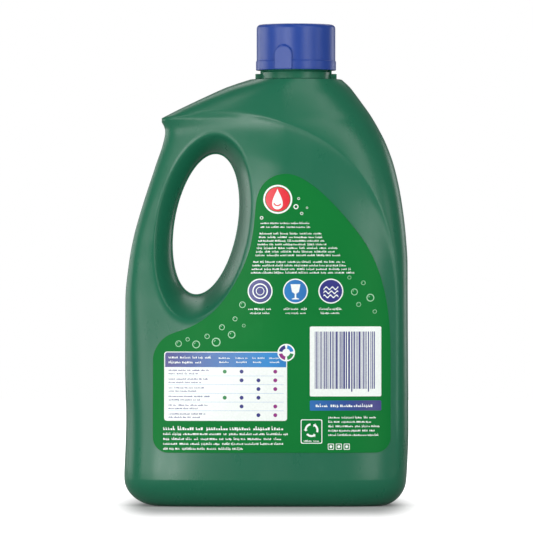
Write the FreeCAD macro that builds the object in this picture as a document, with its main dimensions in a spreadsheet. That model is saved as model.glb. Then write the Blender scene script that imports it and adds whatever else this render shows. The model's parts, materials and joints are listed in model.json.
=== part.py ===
import FreeCAD, Part
import math
import os

import Sketcher

# Dishwasher gel bottle: a blow-moulded bottle with a through handle, a recessed panel on both broad
# faces and a screw cap. Millimetres. Origin under the middle of the base, +Z up, +X away from the
# handle, and the labelled face towards -Y.

Vec = FreeCAD.Vector
doc = FreeCAD.newDocument("GelBottle")
sheet = doc.addObject("Spreadsheet::Sheet", "Sizes")
next_row = [1]


def add_size(alias, value, note):
    """One row of the sheet: what it is, and its plain number or rule under its alias."""
    cell = "B%d" % next_row[0]
    sheet.set("A%d" % next_row[0], note)
    sheet.set(cell, value if isinstance(value, str) else repr(value))
    sheet.setAlias(cell, alias)
    next_row[0] += 1


for alias, value, note in [
    ("wall", 1.2, "wall of the blown shell"),
    ("panel_inset", 1.5, "how far the panel lies under the frame around it"),
    ("panel_foot", 16.2, "height of the panel's lower edge, where the base starts to turn in"),
    ("panel_fade", 17.0, "height over which the panel comes up flush with its lower edge"),
    ("panel_side", 79.0, "the panel's edge on the side away from the handle"),
    ("panel_corner", 8.0, "corner of the panel at its foot"),
    ("base_lean", 1.8, "how far the broad faces lean in under the panel"),
    ("base_round_left", 18.0, "roll of the base edge, along X under the handle"),
    ("base_round_right", 14.0, "roll of the base edge, along X on the far side"),
    ("base_round_y", 13.0, "roll of the base edge, along Y"),
    ("base_round_z", 15.0, "roll of the base edge, height"),
    ("taper_start", 12.0, "where the body starts to thin towards the handle"),
    ("push_up", 3.0, "rise of the hollow under the base"),
    ("push_up_part", 0.74, "width of that hollow as a part of the foot"),
    ("hole_x", -36.0, "middle of the grip hole, X"),
    ("hole_z", 168.5, "middle of the grip hole, Z"),
    ("hole_half_width", 18.8, "grip hole, half width at the parting plane"),
    ("hole_half_height", 42.5, "grip hole, half height at the parting plane"),
    ("hole_lean", -9.9, "lean of the grip hole, degrees"),
    ("crease_shift_x", -1.8, "how far the crease round the grip sits from the hole, X"),
    ("crease_shift_z", -1.6, "how far the crease round the grip sits from the hole, Z"),
    ("crease_out_width", 9.1, "crease beyond the hole's half width"),
    ("crease_out_height", 13.4, "crease beyond the hole's half height"),
    ("grip_curve", 1.7, "how late the grip wall flares out"),
    ("neck_x", 18.0, "axis of the neck"),
    ("neck_r", 17.6, "neck wall under the thread"),
    ("neck_wall", 2.2, "wall of the neck"),
    ("neck_height", 30.35, "rim of the neck over the shoulder"),
    ("rim_chamfer", 0.7, "bevel of the rim"),
    ("neck_foot_step", 1.6, "plain neck under the thread, beyond the neck wall"),
    ("neck_foot_height", 2.4, "plain neck over the collar"),
    ("collar_step", 1.2, "collar beyond the plain neck"),
    ("collar_height", 4.8, "collar over the shoulder"),
    ("thread_depth", 1.05, "room for the screw thread round the neck wall"),
    ("thread_play", 0.25, "play between the thread and the sleeve"),
    ("sleeve_wall", 1.2, "wall of the threaded sleeve"),
    ("sleeve_rise", 0.6, "lower end of the sleeve over the plain neck"),
    ("skirt_gap", 1.9, "gap between the sleeve and the outer skirt"),
    ("cap_wall", 1.6, "outer skirt of the cap"),
    ("cap_lid", 1.8, "top wall of the cap"),
    ("cap_roll", 2.4, "rounding of the cap's top edge"),
    ("foot_gap", 2.1, "gap between the cap and the ramps under it"),
    ("flare_step", 0.4, "wider band at the cap's foot, beyond the skirt"),
    ("flare_height", 5.7, "height of that band"),
    ("pad_turn", -18.7, "turn of the squeeze pads from the broad faces, degrees"),
    ("pad_half", 5.4, "half width of a squeeze pad"),
    ("pad_height", 14.4, "height of a squeeze pad"),
    ("pad_root", 1.3, "how deep a squeeze pad starts in the skirt"),
    ("pad_proud", 0.85, "flat face of a squeeze pad beyond the skirt"),
    ("ramp_height", 3.6, "ramps over the shoulder"),
    ("ramp_proud", 0.8, "ramps beyond the skirt"),
    ("ramp_width", 3.2, "ramps across"),
    ("tooth_gap", 0.6, "lock teeth to the inside of the skirt"),
    ("tooth_width", 2.2, "lock teeth across"),
    ("liner_thick", 1.1, "foam disc thickness"),
    ("liner_play", 0.5, "foam disc to the sleeve"),
    ("seat_gap", 0.05, "play above and below the foam disc"),
    ("label_thick", 0.2, "film of the label"),
    ("label_gap", 0.15, "gap drawn between the film and the panel"),
    ("label_foot", 32.6, "height of the label's lower edge"),
    ("label_corner", 9.0, "lower corners of the label"),
    ("gel_gap", 0.35, "gap drawn between the gel and the wall"),
    ("fill_level", 206.0, "top of the gel"),
]:
    add_size(alias, value, note)

# The blown form by height: left and right outline, half depth, the part of that depth left at the
# handle side, and the squareness of the section.
STATIONS = [
    (0.0, -83.0, 82.5, 36.6, 1.00, 4.0),
    (22.0, -85.1, 84.5, 37.5, 1.00, 4.0),
    (45.0, -85.1, 85.3, 37.5, 0.96, 4.0),
    (85.0, -85.9, 85.1, 37.5, 0.82, 4.0),
    (123.0, -85.8, 84.9, 37.5, 0.64, 4.0),
    (145.0, -83.7, 84.8, 37.5, 0.54, 4.0),
    (160.0, -81.0, 83.9, 37.4, 0.49, 3.9),
    (181.0, -75.1, 81.4, 36.9, 0.47, 3.8),
    (202.0, -68.2, 77.1, 35.8, 0.47, 3.4),
    (217.0, -63.5, 71.8, 34.2, 0.51, 3.1),
    (225.0, -62.0, 67.8, 32.9, 0.54, 2.9),
    (231.0, -63.2, 64.4, 31.7, 0.57, 2.75),
    (235.0, -56.7, 61.9, 30.8, 0.61, 2.65),
    (240.0, -46.6, 58.3, 29.6, 0.68, 2.5),
    (246.0, -33.8, 53.9, 28.0, 0.80, 2.3),
    (251.0, -22.4, 50.0, 26.4, 0.92, 2.1),
    (255.0, -10.2, 45.6, 25.0, 1.00, 2.0),
]
COLUMNS = ["height", "left", "right", "depth", "handle_part", "square"]
for k, values in enumerate(STATIONS):
    for name, value in zip(COLUMNS, values):
        add_size("st%d_%s" % (k, name), value, "body station %d, %s" % (k, name))

# The top edge of the panel, from the beak over the handle to the far side.
ARCH = [(-63.0, 230.8), (-32.0, 235.6), (4.0, 230.6), (32.0, 219.4),
        (51.0, 204.6), (69.0, 177.0), (76.6, 150.0)]
for k, (x, z) in enumerate(ARCH):
    add_size("arch%d_x" % k, x, "panel edge point %d, X" % k)
    add_size("arch%d_z" % k, z, "panel edge point %d, Z" % k)

# The label's outline: two curved flanks over a straight foot.
LABEL_RIGHT = [(13.2, 198.0), (25.7, 192.7), (38.2, 182.0), (49.6, 169.4),
               (61.1, 153.4), (66.8, 140.8), (71.4, 123.6), (74.1, 88.0)]
LABEL_LEFT = [(-67.2, 88.2), (-65.2, 95.0), (-59.4, 101.4), (-49.2, 105.4), (-39.9, 109.8),
              (-30.7, 116.8), (-21.6, 128.1), (-14.4, 141.0), (-10.0, 152.4), (-7.6, 164.0),
              (-6.4, 175.4), (-4.9, 185.4), (-1.0, 192.6), (5.4, 196.9)]
for side, points in (("right", LABEL_RIGHT), ("left", LABEL_LEFT)):
    for k, (x, z) in enumerate(points):
        add_size("label_%s%d_x" % (side, k), x, "label edge, %s point %d, X" % (side, k))
        add_size("label_%s%d_z" % (side, k), z, "label edge, %s point %d, Z" % (side, k))

# What follows from the sizes above, so that the neck, the cap and the disc keep together.
for alias, rule, note in [
    ("shoulder_top", "st%d_height" % (len(STATIONS) - 1), "flat top of the shoulder"),
    ("bore_r", "neck_r - neck_wall", "bore of the neck"),
    ("neck_foot_r", "neck_r + neck_foot_step", "plain neck"),
    ("collar_r", "neck_foot_r + collar_step", "collar"),
    ("collar_top", "shoulder_top + collar_height", "top of the collar"),
    ("neck_foot_top", "collar_top + neck_foot_height", "top of the plain neck"),
    ("neck_top", "shoulder_top + neck_height", "rim of the neck"),
    ("thread_r", "neck_r + thread_depth", "reach of the screw thread"),
    ("sleeve_in_r", "thread_r + thread_play", "inside of the threaded sleeve"),
    ("sleeve_out_r", "sleeve_in_r + sleeve_wall", "outside of the threaded sleeve"),
    ("sleeve_foot", "neck_foot_top + sleeve_rise", "lower end of the threaded sleeve"),
    ("skirt_r", "sleeve_out_r + skirt_gap", "inside of the outer skirt"),
    ("cap_r", "skirt_r + cap_wall", "outside of the cap"),
    ("flare_r", "cap_r + flare_step", "wider band at the cap's foot"),
    ("ramp_r", "cap_r + ramp_proud", "reach of the two ramps under the cap"),
    ("ramp_top", "shoulder_top + ramp_height", "top of the two ramps"),
    ("tooth_r", "skirt_r - tooth_gap", "reach of the two lock teeth inside the cap"),
    ("cap_foot", "ramp_top + foot_gap", "lower rim of the cap"),
    ("flare_top", "cap_foot + flare_height", "top of the wider band"),
    ("pad_top", "cap_foot + pad_height", "top of a squeeze pad"),
    ("liner_face", "neck_top + seat_gap", "underside of the foam disc"),
    ("liner_back", "liner_face + liner_thick", "top of the foam disc"),
    ("liner_r", "sleeve_in_r - liner_play", "foam disc"),
    ("lid_under", "liner_back + seat_gap", "underside of the cap's top wall"),
    ("cap_top", "lid_under + cap_lid", "top of the cap"),
    ("pad_in", "cap_r - pad_root", "where a squeeze pad starts in the skirt"),
    ("pad_out", "cap_r + pad_proud", "flat outer face of a squeeze pad"),
    ("gel_inset", "wall + gel_gap", "the gel's skin under the outside of the shell"),
]:
    add_size(alias, "=" + rule, note)
doc.recompute()


def sized(name):
    """A size as the sheet holds it."""
    return float(sheet.get(name))


def curve_through(heights, values, z):
    """Monotone cubic through the stations, so that no bulge appears between two of them."""
    n = len(heights)
    step = [heights[i + 1] - heights[i] for i in range(n - 1)]
    rise = [(values[i + 1] - values[i]) / step[i] for i in range(n - 1)]
    slope = [rise[0]] + [0.0] * (n - 2) + [rise[-1]]
    for i in range(1, n - 1):
        if rise[i - 1] * rise[i] > 0:
            w1, w2 = 2 * step[i] + step[i - 1], step[i] + 2 * step[i - 1]
            slope[i] = (w1 + w2) / (w1 / rise[i - 1] + w2 / rise[i])
    i = max(j for j in range(n - 1) if heights[j] <= max(z, heights[0]))
    t = min(max((z - heights[i]) / step[i], 0.0), 1.0)
    return ((2 * t ** 3 - 3 * t ** 2 + 1) * values[i] + (t ** 3 - 2 * t ** 2 + t) * step[i] * slope[i]
            + (3 * t ** 2 - 2 * t ** 3) * values[i + 1] + (t ** 3 - t ** 2) * step[i] * slope[i + 1])


stations = {name: [sized("st%d_%s" % (k, name)) for k in range(len(STATIONS))] for name in COLUMNS}
top_height = sized("shoulder_top")
beak_height = sized("arch0_z")
widest = max(stations["right"] + [-x for x in stations["left"]])
clear = 1.4 * widest


def ease(t):
    """0 to 1 with level ends."""
    t = min(max(t, 0.0), 1.0)
    return t * t * (3 - 2 * t)


def panel_depth(z):
    """How far the panel lies under the frame: flush at its lower edge, in full further up."""
    return sized("panel_inset") * (0.08 + 0.92 * ease((z - sized("panel_foot")) / sized("panel_fade")))


def body_at(z, inset):
    """Left, right, half depth, handle part and squareness of the form at a height."""
    left, right, depth, part, square = [
        curve_through(stations["height"], stations[name], z) for name in COLUMNS[1:]]
    roll = min(max(1 - z / sized("base_round_z"), 0.0), 1.0)
    tuck = 1 - math.sqrt(1 - roll ** 2)
    lean = sized("base_lean") * max(1 - z / sized("panel_foot"), 0.0)
    left += tuck * sized("base_round_left") + inset
    right -= tuck * sized("base_round_right") + inset
    depth -= tuck * sized("base_round_y") + lean + inset
    return left, right, depth, part, square


def thinning(x, left, part):
    """The part of the depth that is left at x, on the way to the handle."""
    return 1 - (1 - part) * ease((sized("taper_start") - x) / (sized("taper_start") - left))


def half_depth(x, z, inset):
    """Half depth of the form at (x, z)."""
    left, right, depth, part, square = body_at(z, inset)
    u = min(abs((2 * x - left - right) / (right - left)), 0.999)
    return depth * (1 - u ** square) ** (1 / square) * thinning(x, left, part)


def section_wire(z_form, z, inset):
    """The horizontal section of the form, as a front and a back curve that meet at the parting line."""
    left, right, depth, part, square = body_at(z_form, inset)
    middle, half = (left + right) / 2, (right - left) / 2
    steps = 28
    front = []
    for k in range(steps + 1):
        a = math.pi * k / steps
        c, s = math.cos(a), math.sin(a)
        r = (abs(c) ** square + abs(s) ** square) ** (-1 / square)
        x = middle - half * r * c
        front.append(Vec(x, -depth * r * s * thinning(x, left, part), z))
    front[0].y = front[-1].y = 0.0
    back = [Vec(p.x, -p.y, p.z) for p in reversed(front)]
    curves = []
    for points, turn in ((front, -1), (back, 1)):
        curve = Part.BSplineCurve()
        speed = steps * turn
        curve.interpolate(Points=points, Parameters=[k / steps for k in range(steps + 1)],
                          InitialTangent=Vec(0, speed * (points[1] - points[0]).Length, 0),
                          FinalTangent=Vec(0, -speed * (points[-1] - points[-2]).Length, 0), Scale=False)
        curves.append(curve.toShape())
    return Part.Wire(curves)


def loft(wires):
    shape = Part.makeLoft(wires, True, False)
    if shape.Volume < 0:
        shape.reverse()
    return shape


def form(name, inset, is_panel=False):
    """The whole blown form moved in by inset; the panel's form lies deeper by the panel's depth."""
    roll, foot = sized("base_round_z"), sized("panel_foot")
    heights = [roll * (1 - math.cos(math.radians(a))) for a in (0, 20, 38, 55, 71, 83)]
    rise = roll + 1.0
    while rise < top_height - 0.5:
        heights.append(rise)
        if rise > beak_height - 14.0:
            rise += 3.0
        else:
            rise += 9.0
    heights.append(top_height)
    wires = []
    for h in heights:
        share = h / top_height
        deeper = inset + (panel_depth(h) if is_panel else 0.0)
        wires.append(section_wire(h, h + inset * (1 - 2 * share), deeper))
    feature = doc.addObject("Part::Feature", name)
    feature.Shape = loft(wires)
    return feature


def bind(obj, prop, expression):
    obj.setExpression(prop, expression)


def extrusion(name, wire, reach_front, reach_back):
    """A wire drawn in the XZ plane, carried towards -Y by reach_front and towards +Y by reach_back."""
    outline = doc.addObject("Part::Feature", name + "Outline")
    outline.Shape = Part.Face(wire)
    solid = doc.addObject("Part::Extrusion", name)
    solid.Base = outline
    solid.DirMode = "Custom"
    solid.Dir = Vec(0, 1, 0)
    solid.LengthFwd = reach_back
    solid.LengthRev = reach_front
    solid.Solid = True
    return solid


def boolean(kind, name, first, second):
    result = doc.addObject("Part::" + kind, name)
    result.Base = first
    result.Tool = second
    result.Refine = False
    return result


def spline(points, start, end):
    """A smooth edge through the points that leaves along start and arrives along end, unit vectors."""
    curve = Part.BSplineCurve()
    curve.interpolate(Points=points, InitialTangent=start, FinalTangent=end, Scale=False)
    return curve.toShape()


def panel_wire(grow):
    """Outline of the recessed panel, open past the handle; grow moves it outwards."""
    arch = [(sized("arch%d_x" % k), sized("arch%d_z" % k)) for k in range(len(ARCH))]
    arch.append((sized("panel_side"), 0.7 * arch[-1][1]))
    moved = []
    for k, (x, z) in enumerate(arch):
        before, after = arch[max(k - 1, 0)], arch[min(k + 1, len(arch) - 1)]
        dx, dz = after[0] - before[0], after[1] - before[1]
        length = math.hypot(dx, dz)
        moved.append(Vec(x - grow * dz / length, 0, z + grow * dx / length))
    side = sized("panel_side") + grow
    foot, corner = sized("panel_foot") - grow, sized("panel_corner") + grow
    far = -clear
    moved[-1].x = side
    start = moved[1] - moved[0]
    beyond = moved[0] - start * ((moved[0].x - far) / start.x)
    low = Vec(side, 0, foot + corner)
    turn = Part.Arc(low, Vec(side - corner * (1 - math.sqrt(0.5)), 0, foot + corner * (1 - math.sqrt(0.5))),
                    Vec(side - corner, 0, foot)).toShape()
    heel = Vec(stations["left"][0] + 2 * sized("panel_corner"), 0, foot)
    lift = Vec(far, 0, foot + sized("panel_corner"))
    edges = [
        Part.makeLine(beyond, moved[0]),
        spline(moved, start / start.Length, Vec(0, 0, -1)),
        Part.makeLine(moved[-1], low),
        turn,
        Part.makeLine(Vec(side - corner, 0, foot), heel),
        Part.makeLine(heel, lift),
        Part.makeLine(lift, beyond),
    ]
    return Part.Wire(edges)


def leaning_oval(kind, angle):
    """A point of the grip hole's outline, or of the crease around it."""
    is_crease = 1 if kind == "crease" else 0
    across = (sized("hole_half_width") + is_crease * sized("crease_out_width")) * math.cos(angle)
    along = (sized("hole_half_height") + is_crease * sized("crease_out_height")) * math.sin(angle)
    lean = math.radians(sized("hole_lean"))
    x = sized("hole_x") + is_crease * sized("crease_shift_x")
    z = sized("hole_z") + is_crease * sized("crease_shift_z")
    return (x + across * math.cos(lean) - along * math.sin(lean),
            z + across * math.sin(lean) + along * math.cos(lean))


def grip_cutter(name, grow):
    """The grip opening as a waisted tool: narrowest at the parting plane, widest at the creases."""
    ways, layers = 32, 8
    rays = []
    for k in range(ways):
        a = 2 * math.pi * k / ways
        inner, outer = leaning_oval("hole", a), leaning_oval("crease", a)
        far = math.hypot(outer[0] - inner[0], outer[1] - inner[1])
        out = ((outer[0] - inner[0]) / far, (outer[1] - inner[1]) / far)
        depth = half_depth(outer[0], outer[1], panel_depth(outer[1]))
        rays.append((inner, out, far, depth))
    wires = []
    for layer in range(-layers, layers + 1):
        y = 1.2 * max(stations["depth"]) * layer / layers
        points = []
        for inner, out, far, depth in rays:
            u = abs(y) / depth
            share = u ** sized("grip_curve") if u < 1 else 1 + 0.35 * (u - 1)
            r = far * share + grow
            points.append(Vec(inner[0] + r * out[0], y, inner[1] + r * out[1]))
        curve = Part.BSplineCurve()
        curve.interpolate(Points=points, PeriodicFlag=True,
                          Parameters=[k / ways for k in range(ways + 1)])
        wires.append(Part.Wire([curve.toShape()]))
    feature = doc.addObject("Part::Feature", name)
    feature.Shape = loft(wires)
    return feature


def push_up_tool(name, grow):
    """The hollow under the base, a flat dome that keeps a foot all round."""
    left, right = body_at(0.0, 0.0)[:2]
    middle = (left + right) / 2
    share, rise = sized("push_up_part"), sized("push_up")
    base = section_wire(0.0, 0.0, 0.0)
    box = base.BoundBox
    wires = []
    for height, shrink in ((-2 * rise, 0.0), (0.75 * rise, 0.7 * rise), (rise, 2 * rise)):
        sx = share - (shrink - grow) / (box.XLength / 2)
        sy = share - (shrink - grow) / (box.YLength / 2)
        shape = FreeCAD.Matrix()
        shape.scale(Vec(sx, sy, 1))
        shape.move(Vec(middle * (1 - sx), 0, height + (grow if height > 0 else 0)))
        wires.append(Part.Wire(base.transformGeometry(shape).Edges))
    feature = doc.addObject("Part::Feature", name)
    feature.Shape = Part.makeLoft(wires, True, True)
    return feature


# ---- the blown shell -------------------------------------------------------------------------
outer_form = form("OuterForm", 0.0)
panel_form = form("PanelForm", 0.0, True)
panel_prism = extrusion("PanelPrism", panel_wire(0.0), clear, clear)
frame = boolean("Cut", "Frame", outer_form, panel_prism)
panel = boolean("Common", "Panel", panel_form, panel_prism)


def origin_plane(body, role):
    return next(f for f in body.Origin.OriginFeatures if f.Role == role)


def new_body(name):
    """A body on the neck's axis."""
    body = doc.addObject("PartDesign::Body", name)
    bind(body, "Placement.Base.x", "Sizes.neck_x")
    return body


def polygon_sketch(body, name, role, corners):
    """A closed polygon. Each corner is a pair of formulas on the sheet, measured from the axes."""
    sketch = body.newObject("Sketcher::SketchObject", name)
    sketch.AttachmentSupport = [(origin_plane(body, role), "")]
    sketch.MapMode = "FlatFace"
    values = [tuple(evaluate(word) for word in corner) for corner in corners]
    count = len(corners)
    for i in range(count):
        a, b = values[i], values[(i + 1) % count]
        sketch.addGeometry(Part.LineSegment(Vec(a[0], a[1], 0), Vec(b[0], b[1], 0)), False)
    for i in range(count):
        sketch.addConstraint(Sketcher.Constraint("Coincident", i, 2, (i + 1) % count, 1))
    for i, corner in enumerate(corners):
        for kind, word, value in zip(("DistanceX", "DistanceY"), corner, values[i]):
            if word == "0":
                sketch.addConstraint(Sketcher.Constraint(
                    "PointOnObject", i, 1, -2 if kind == "DistanceX" else -1))
            else:
                index = sketch.addConstraint(Sketcher.Constraint(kind, -1, 1, i, 1, value))
                sketch.setExpression("Constraints[%d]" % index, word)
    return sketch


def evaluate(formula):
    """The value of a formula that adds, subtracts and divides sizes of the sheet."""
    total, sign = 0.0, 1.0
    for word in formula.split():
        if word in "+-":
            sign = 1.0 if word == "+" else -1.0
            continue
        name, _, over = word.replace("Sizes.", "").partition("/")
        value = float(name) if name[0].isdigit() else sized(name)
        total += sign * value / float(over or 1)
    return total


def sheeted(corners):
    """Short names to sheet formulas."""
    out = []
    for corner in corners:
        words = []
        for formula in corner:
            words.append(" ".join("Sizes." + w if w[0].isalpha() else w for w in formula.split()))
        out.append(tuple(words))
    return out


def turned(body, name, corners):
    """A solid of revolution about the body's Z axis from a profile of (radius, height) formulas."""
    sketch = polygon_sketch(body, name + "Profile", "XZ_Plane", sheeted(corners))
    solid = body.newObject("PartDesign::Revolution", name)
    solid.Profile = sketch
    solid.ReferenceAxis = (sketch, ["V_Axis"])
    solid.Angle = 360.0
    return solid


# ---- the neck ---------------------------------------------------------------------------------
neck = new_body("NeckFinish")
neck_root = "shoulder_top - collar_height"
turned(neck, "NeckWall", [
    ("0", neck_root), ("collar_r", neck_root), ("collar_r", "collar_top"),
    ("neck_foot_r", "collar_top"), ("neck_foot_r", "neck_foot_top"),
    ("neck_r", "neck_foot_top + sleeve_rise"), ("neck_r", "neck_top - rim_chamfer"),
    ("neck_r - rim_chamfer", "neck_top"), ("0", "neck_top")])


def cross_bar(body, name, reach, width, high):
    """A bar across the neck from one side to the other: its two ends are the ramps or the teeth."""
    sketch = polygon_sketch(body, name + "Outline", "XZ_Plane", sheeted([
        ("0 - " + reach, neck_root), (reach, neck_root), (reach, high), ("0 - " + reach, high)]))
    pad = body.newObject("PartDesign::Pad", name)
    pad.Profile = sketch
    pad.Midplane = True
    pad.Length = sized(width)
    bind(pad, "Length", "Sizes." + width)
    return pad


cross_bar(neck, "Ramps", "ramp_r", "ramp_width", "ramp_top")
cross_bar(neck, "LockTeeth", "tooth_r", "tooth_width", "neck_foot_top")
doc.recompute()


def fused(name, parts):
    result = doc.addObject("Part::MultiFuse", name)
    result.Shapes = parts
    result.Refine = False
    return result


# ---- the blown shell, hollow ------------------------------------------------------------------
wall = sized("wall")
blank = fused("Blank", [frame, panel, neck])
blank_grip = boolean("Cut", "BlankWithGrip", blank, grip_cutter("GripOpening", 0.0))
blank_foot = boolean("Cut", "BlankOnFoot", blank_grip, push_up_tool("PushUp", 0.0))

inner_prism = extrusion("InnerPanelPrism", panel_wire(sized("panel_inset")), clear, clear)
inner_frame = boolean("Cut", "InnerFrame", form("InnerForm", wall), inner_prism)
inner_panel = boolean("Common", "InnerPanel", form("InnerPanelForm", wall, True), inner_prism)
bore = doc.addObject("Part::Cylinder", "Bore")
bind(bore, "Radius", "Sizes.bore_r")
bind(bore, "Height", "Sizes.neck_height + 2 * Sizes.neck_r")
bind(bore, "Placement.Base.x", "Sizes.neck_x")
bind(bore, "Placement.Base.z", "Sizes.shoulder_top - Sizes.neck_r")
hollow = fused("Hollow", [inner_frame, inner_panel, bore])
hollow_grip = boolean("Cut", "HollowAroundGrip", hollow, grip_cutter("GripWall", wall))
cavity = boolean("Cut", "Cavity", hollow_grip, push_up_tool("PushUpWall", wall))

bottle = boolean("Cut", "Bottle", blank_foot, cavity)

# ---- the label's film -------------------------------------------------------------------------


def label_wire():
    right, left = [
        [Vec(sized("label_%s%d_x" % (side, k)), 0, sized("label_%s%d_z" % (side, k))) for k in range(count)]
        for side, count in (("right", len(LABEL_RIGHT)), ("left", len(LABEL_LEFT)))]
    foot, corner = sized("label_foot"), sized("label_corner")
    bend = corner * (1 - math.sqrt(0.5))
    low_right, low_left = Vec(right[-1].x, 0, foot + corner), Vec(left[0].x, 0, foot + corner)
    edges = [
        spline(left + right, Vec(0, 0, 1), Vec(0, 0, -1)),
        Part.makeLine(right[-1], low_right),
        Part.Arc(low_right, Vec(right[-1].x - bend, 0, foot + bend),
                 Vec(right[-1].x - corner, 0, foot)).toShape(),
        Part.makeLine(Vec(right[-1].x - corner, 0, foot), Vec(left[0].x + corner, 0, foot)),
        Part.Arc(Vec(left[0].x + corner, 0, foot), Vec(left[0].x + bend, 0, foot + bend),
                 low_left).toShape(),
        Part.makeLine(low_left, left[0]),
    ]
    return Part.Wire(edges)


label_prism = extrusion("LabelPrism", label_wire(), clear, 0.0)
film_back = form("FilmBackForm", -sized("label_gap"), True)
film_front = form("FilmFrontForm", -sized("label_gap") - sized("label_thick"), True)
film_outside = boolean("Common", "FilmOutside", film_front, label_prism)
film = boolean("Cut", "Film", film_outside, film_back)

# ---- the gel ----------------------------------------------------------------------------------
gap = sized("gel_inset")
gel_blank = boolean("Cut", "GelBlank", form("GelForm", gap, True), grip_cutter("GelAroundGrip", gap))
gel_foot = boolean("Cut", "GelOnFoot", gel_blank, push_up_tool("GelPushUp", gap))
filled = doc.addObject("Part::Box", "FilledSpace")
filled.Length, filled.Width = 2 * clear, 2 * clear
bind(filled, "Height", "Sizes.fill_level")
filled.Placement = FreeCAD.Placement(Vec(-clear, -clear, 0), FreeCAD.Rotation())
gel = boolean("Common", "Gel", gel_foot, filled)

# ---- the cap ----------------------------------------------------------------------------------
cap = new_body("Cap")
cap_shell = turned(cap, "CapShell", [
    ("0", "lid_under"), ("sleeve_in_r", "lid_under"), ("sleeve_in_r", "sleeve_foot"),
    ("sleeve_out_r", "sleeve_foot"), ("sleeve_out_r", "lid_under"),
    ("skirt_r", "lid_under"), ("skirt_r", "cap_foot"),
    ("flare_r", "cap_foot"), ("flare_r", "flare_top - flare_step"), ("cap_r", "flare_top"),
    ("cap_r", "cap_top"), ("0", "cap_top")])
doc.recompute()


def ring_edges(shape, radius, height):
    """Names of the full circles of one radius at one height."""
    names = []
    for i, edge in enumerate(shape.Edges):
        box = edge.BoundBox
        if (hasattr(edge.Curve, "Radius") and abs(edge.Curve.Radius - radius) < 1e-4
                and abs(box.ZMax - height) < 1e-4 and abs(box.ZMin - height) < 1e-4):
            names.append("Edge%d" % (i + 1))
    return names


roll = cap.newObject("PartDesign::Fillet", "CapRoll")
roll.Base = (cap_shell, ring_edges(cap_shell.Shape, sized("cap_r"), sized("cap_top")))
roll.Radius = sized("cap_roll")
bind(roll, "Radius", "Sizes.cap_roll")

pad_sketch = cap.newObject("Sketcher::SketchObject", "SqueezePadOutline")
pad_sketch.AttachmentSupport = [(origin_plane(cap, "XZ_Plane"), "")]
pad_sketch.MapMode = "FlatFace"
turn = FreeCAD.Rotation(Vec(0, 1, 0), sized("pad_turn"))
pad_sketch.AttachmentOffset = FreeCAD.Placement(turn.multVec(Vec(0, 0, sized("pad_in"))), turn)
half, foot, spring = sized("pad_half"), sized("cap_foot"), sized("pad_top") - sized("pad_half")
pad_sketch.addGeometry(Part.LineSegment(Vec(-half, foot, 0), Vec(half, foot, 0)), False)
pad_sketch.addGeometry(Part.LineSegment(Vec(half, foot, 0), Vec(half, spring, 0)), False)
pad_arch = Part.Circle(Vec(0, spring, 0), Vec(0, 0, 1), half)
pad_sketch.addGeometry(Part.ArcOfCircle(pad_arch, 0, math.pi), False)
pad_sketch.addGeometry(Part.LineSegment(Vec(-half, spring, 0), Vec(-half, foot, 0)), False)
for first, second in ((0, 1), (3, 0)):
    pad_sketch.addConstraint(Sketcher.Constraint("Coincident", first, 2, second, 1))
pad_sketch.addConstraint(Sketcher.Constraint("Horizontal", 0))
pad_sketch.addConstraint(Sketcher.Constraint("Tangent", 1, 2, 2, 1))
pad_sketch.addConstraint(Sketcher.Constraint("Tangent", 2, 2, 3, 1))
pad_sketch.addConstraint(Sketcher.Constraint("PointOnObject", 2, 3, -2))
for kind, element, point, word, value in (
        ("DistanceY", 0, 1, "Sizes.cap_foot", foot),
        ("DistanceY", 2, 3, "Sizes.pad_top - Sizes.pad_half", spring),
        ("DistanceX", 0, 2, "Sizes.pad_half", half)):
    index = pad_sketch.addConstraint(Sketcher.Constraint(kind, -1, 1, element, point, value))
    pad_sketch.setExpression("Constraints[%d]" % index, word)
squeeze = cap.newObject("PartDesign::Pad", "SqueezePad")
squeeze.Profile = pad_sketch
squeeze.Length = sized("pad_out") - sized("pad_in")
bind(squeeze, "Length", "Sizes.pad_out - Sizes.pad_in")
doc.recompute()
pair = cap.newObject("PartDesign::PolarPattern", "SqueezePads")
pair.Originals = [squeeze]
pair.Axis = (next(f for f in cap.Origin.OriginFeatures if f.Role == "Z_Axis"), [""])
pair.Angle = 360.0
cap.Tip = pair
pair.Occurrences = 2

# ---- the foam disc ----------------------------------------------------------------------------
liner = new_body("Liner")
turned(liner, "LinerDisc", [
    ("0", "liner_face"), ("liner_r", "liner_face"), ("liner_r", "liner_back"), ("0", "liner_back")])

doc.recompute()
NODES = [(bottle, "bottle"), (film, "back_label"), (gel, "gel"), (cap, "cap"), (liner, "cap_liner")]
for obj in doc.Objects:
    if {"Invalid", "Error"} & set(obj.State):
        raise RuntimeError("%s is %s" % (obj.Name, obj.State))
os.makedirs("parts", exist_ok=True)
for obj, name in NODES:
    obj.Label = name
    shape = obj.Shape
    if shape.isNull() or not shape.isValid() or shape.Volume <= 0:
        raise RuntimeError(name + " has no valid solid")
    shape.exportStep("parts/%s.step" % name)
    box = shape.optimalBoundingBox() if hasattr(shape, "optimalBoundingBox") else shape.BoundBox
    print("%-12s %d solid(s) %10.1f mm3  X %.2f..%.2f  Y %.2f..%.2f  Z %.2f..%.2f" % (
        name, len(shape.Solids), shape.Volume, box.XMin, box.XMax, box.YMin, box.YMax, box.ZMin, box.ZMax))
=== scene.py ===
import json
import math
import random

import bpy
import numpy as np
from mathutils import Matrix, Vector
from mathutils.geometry import delaunay_2d_cdt


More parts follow.
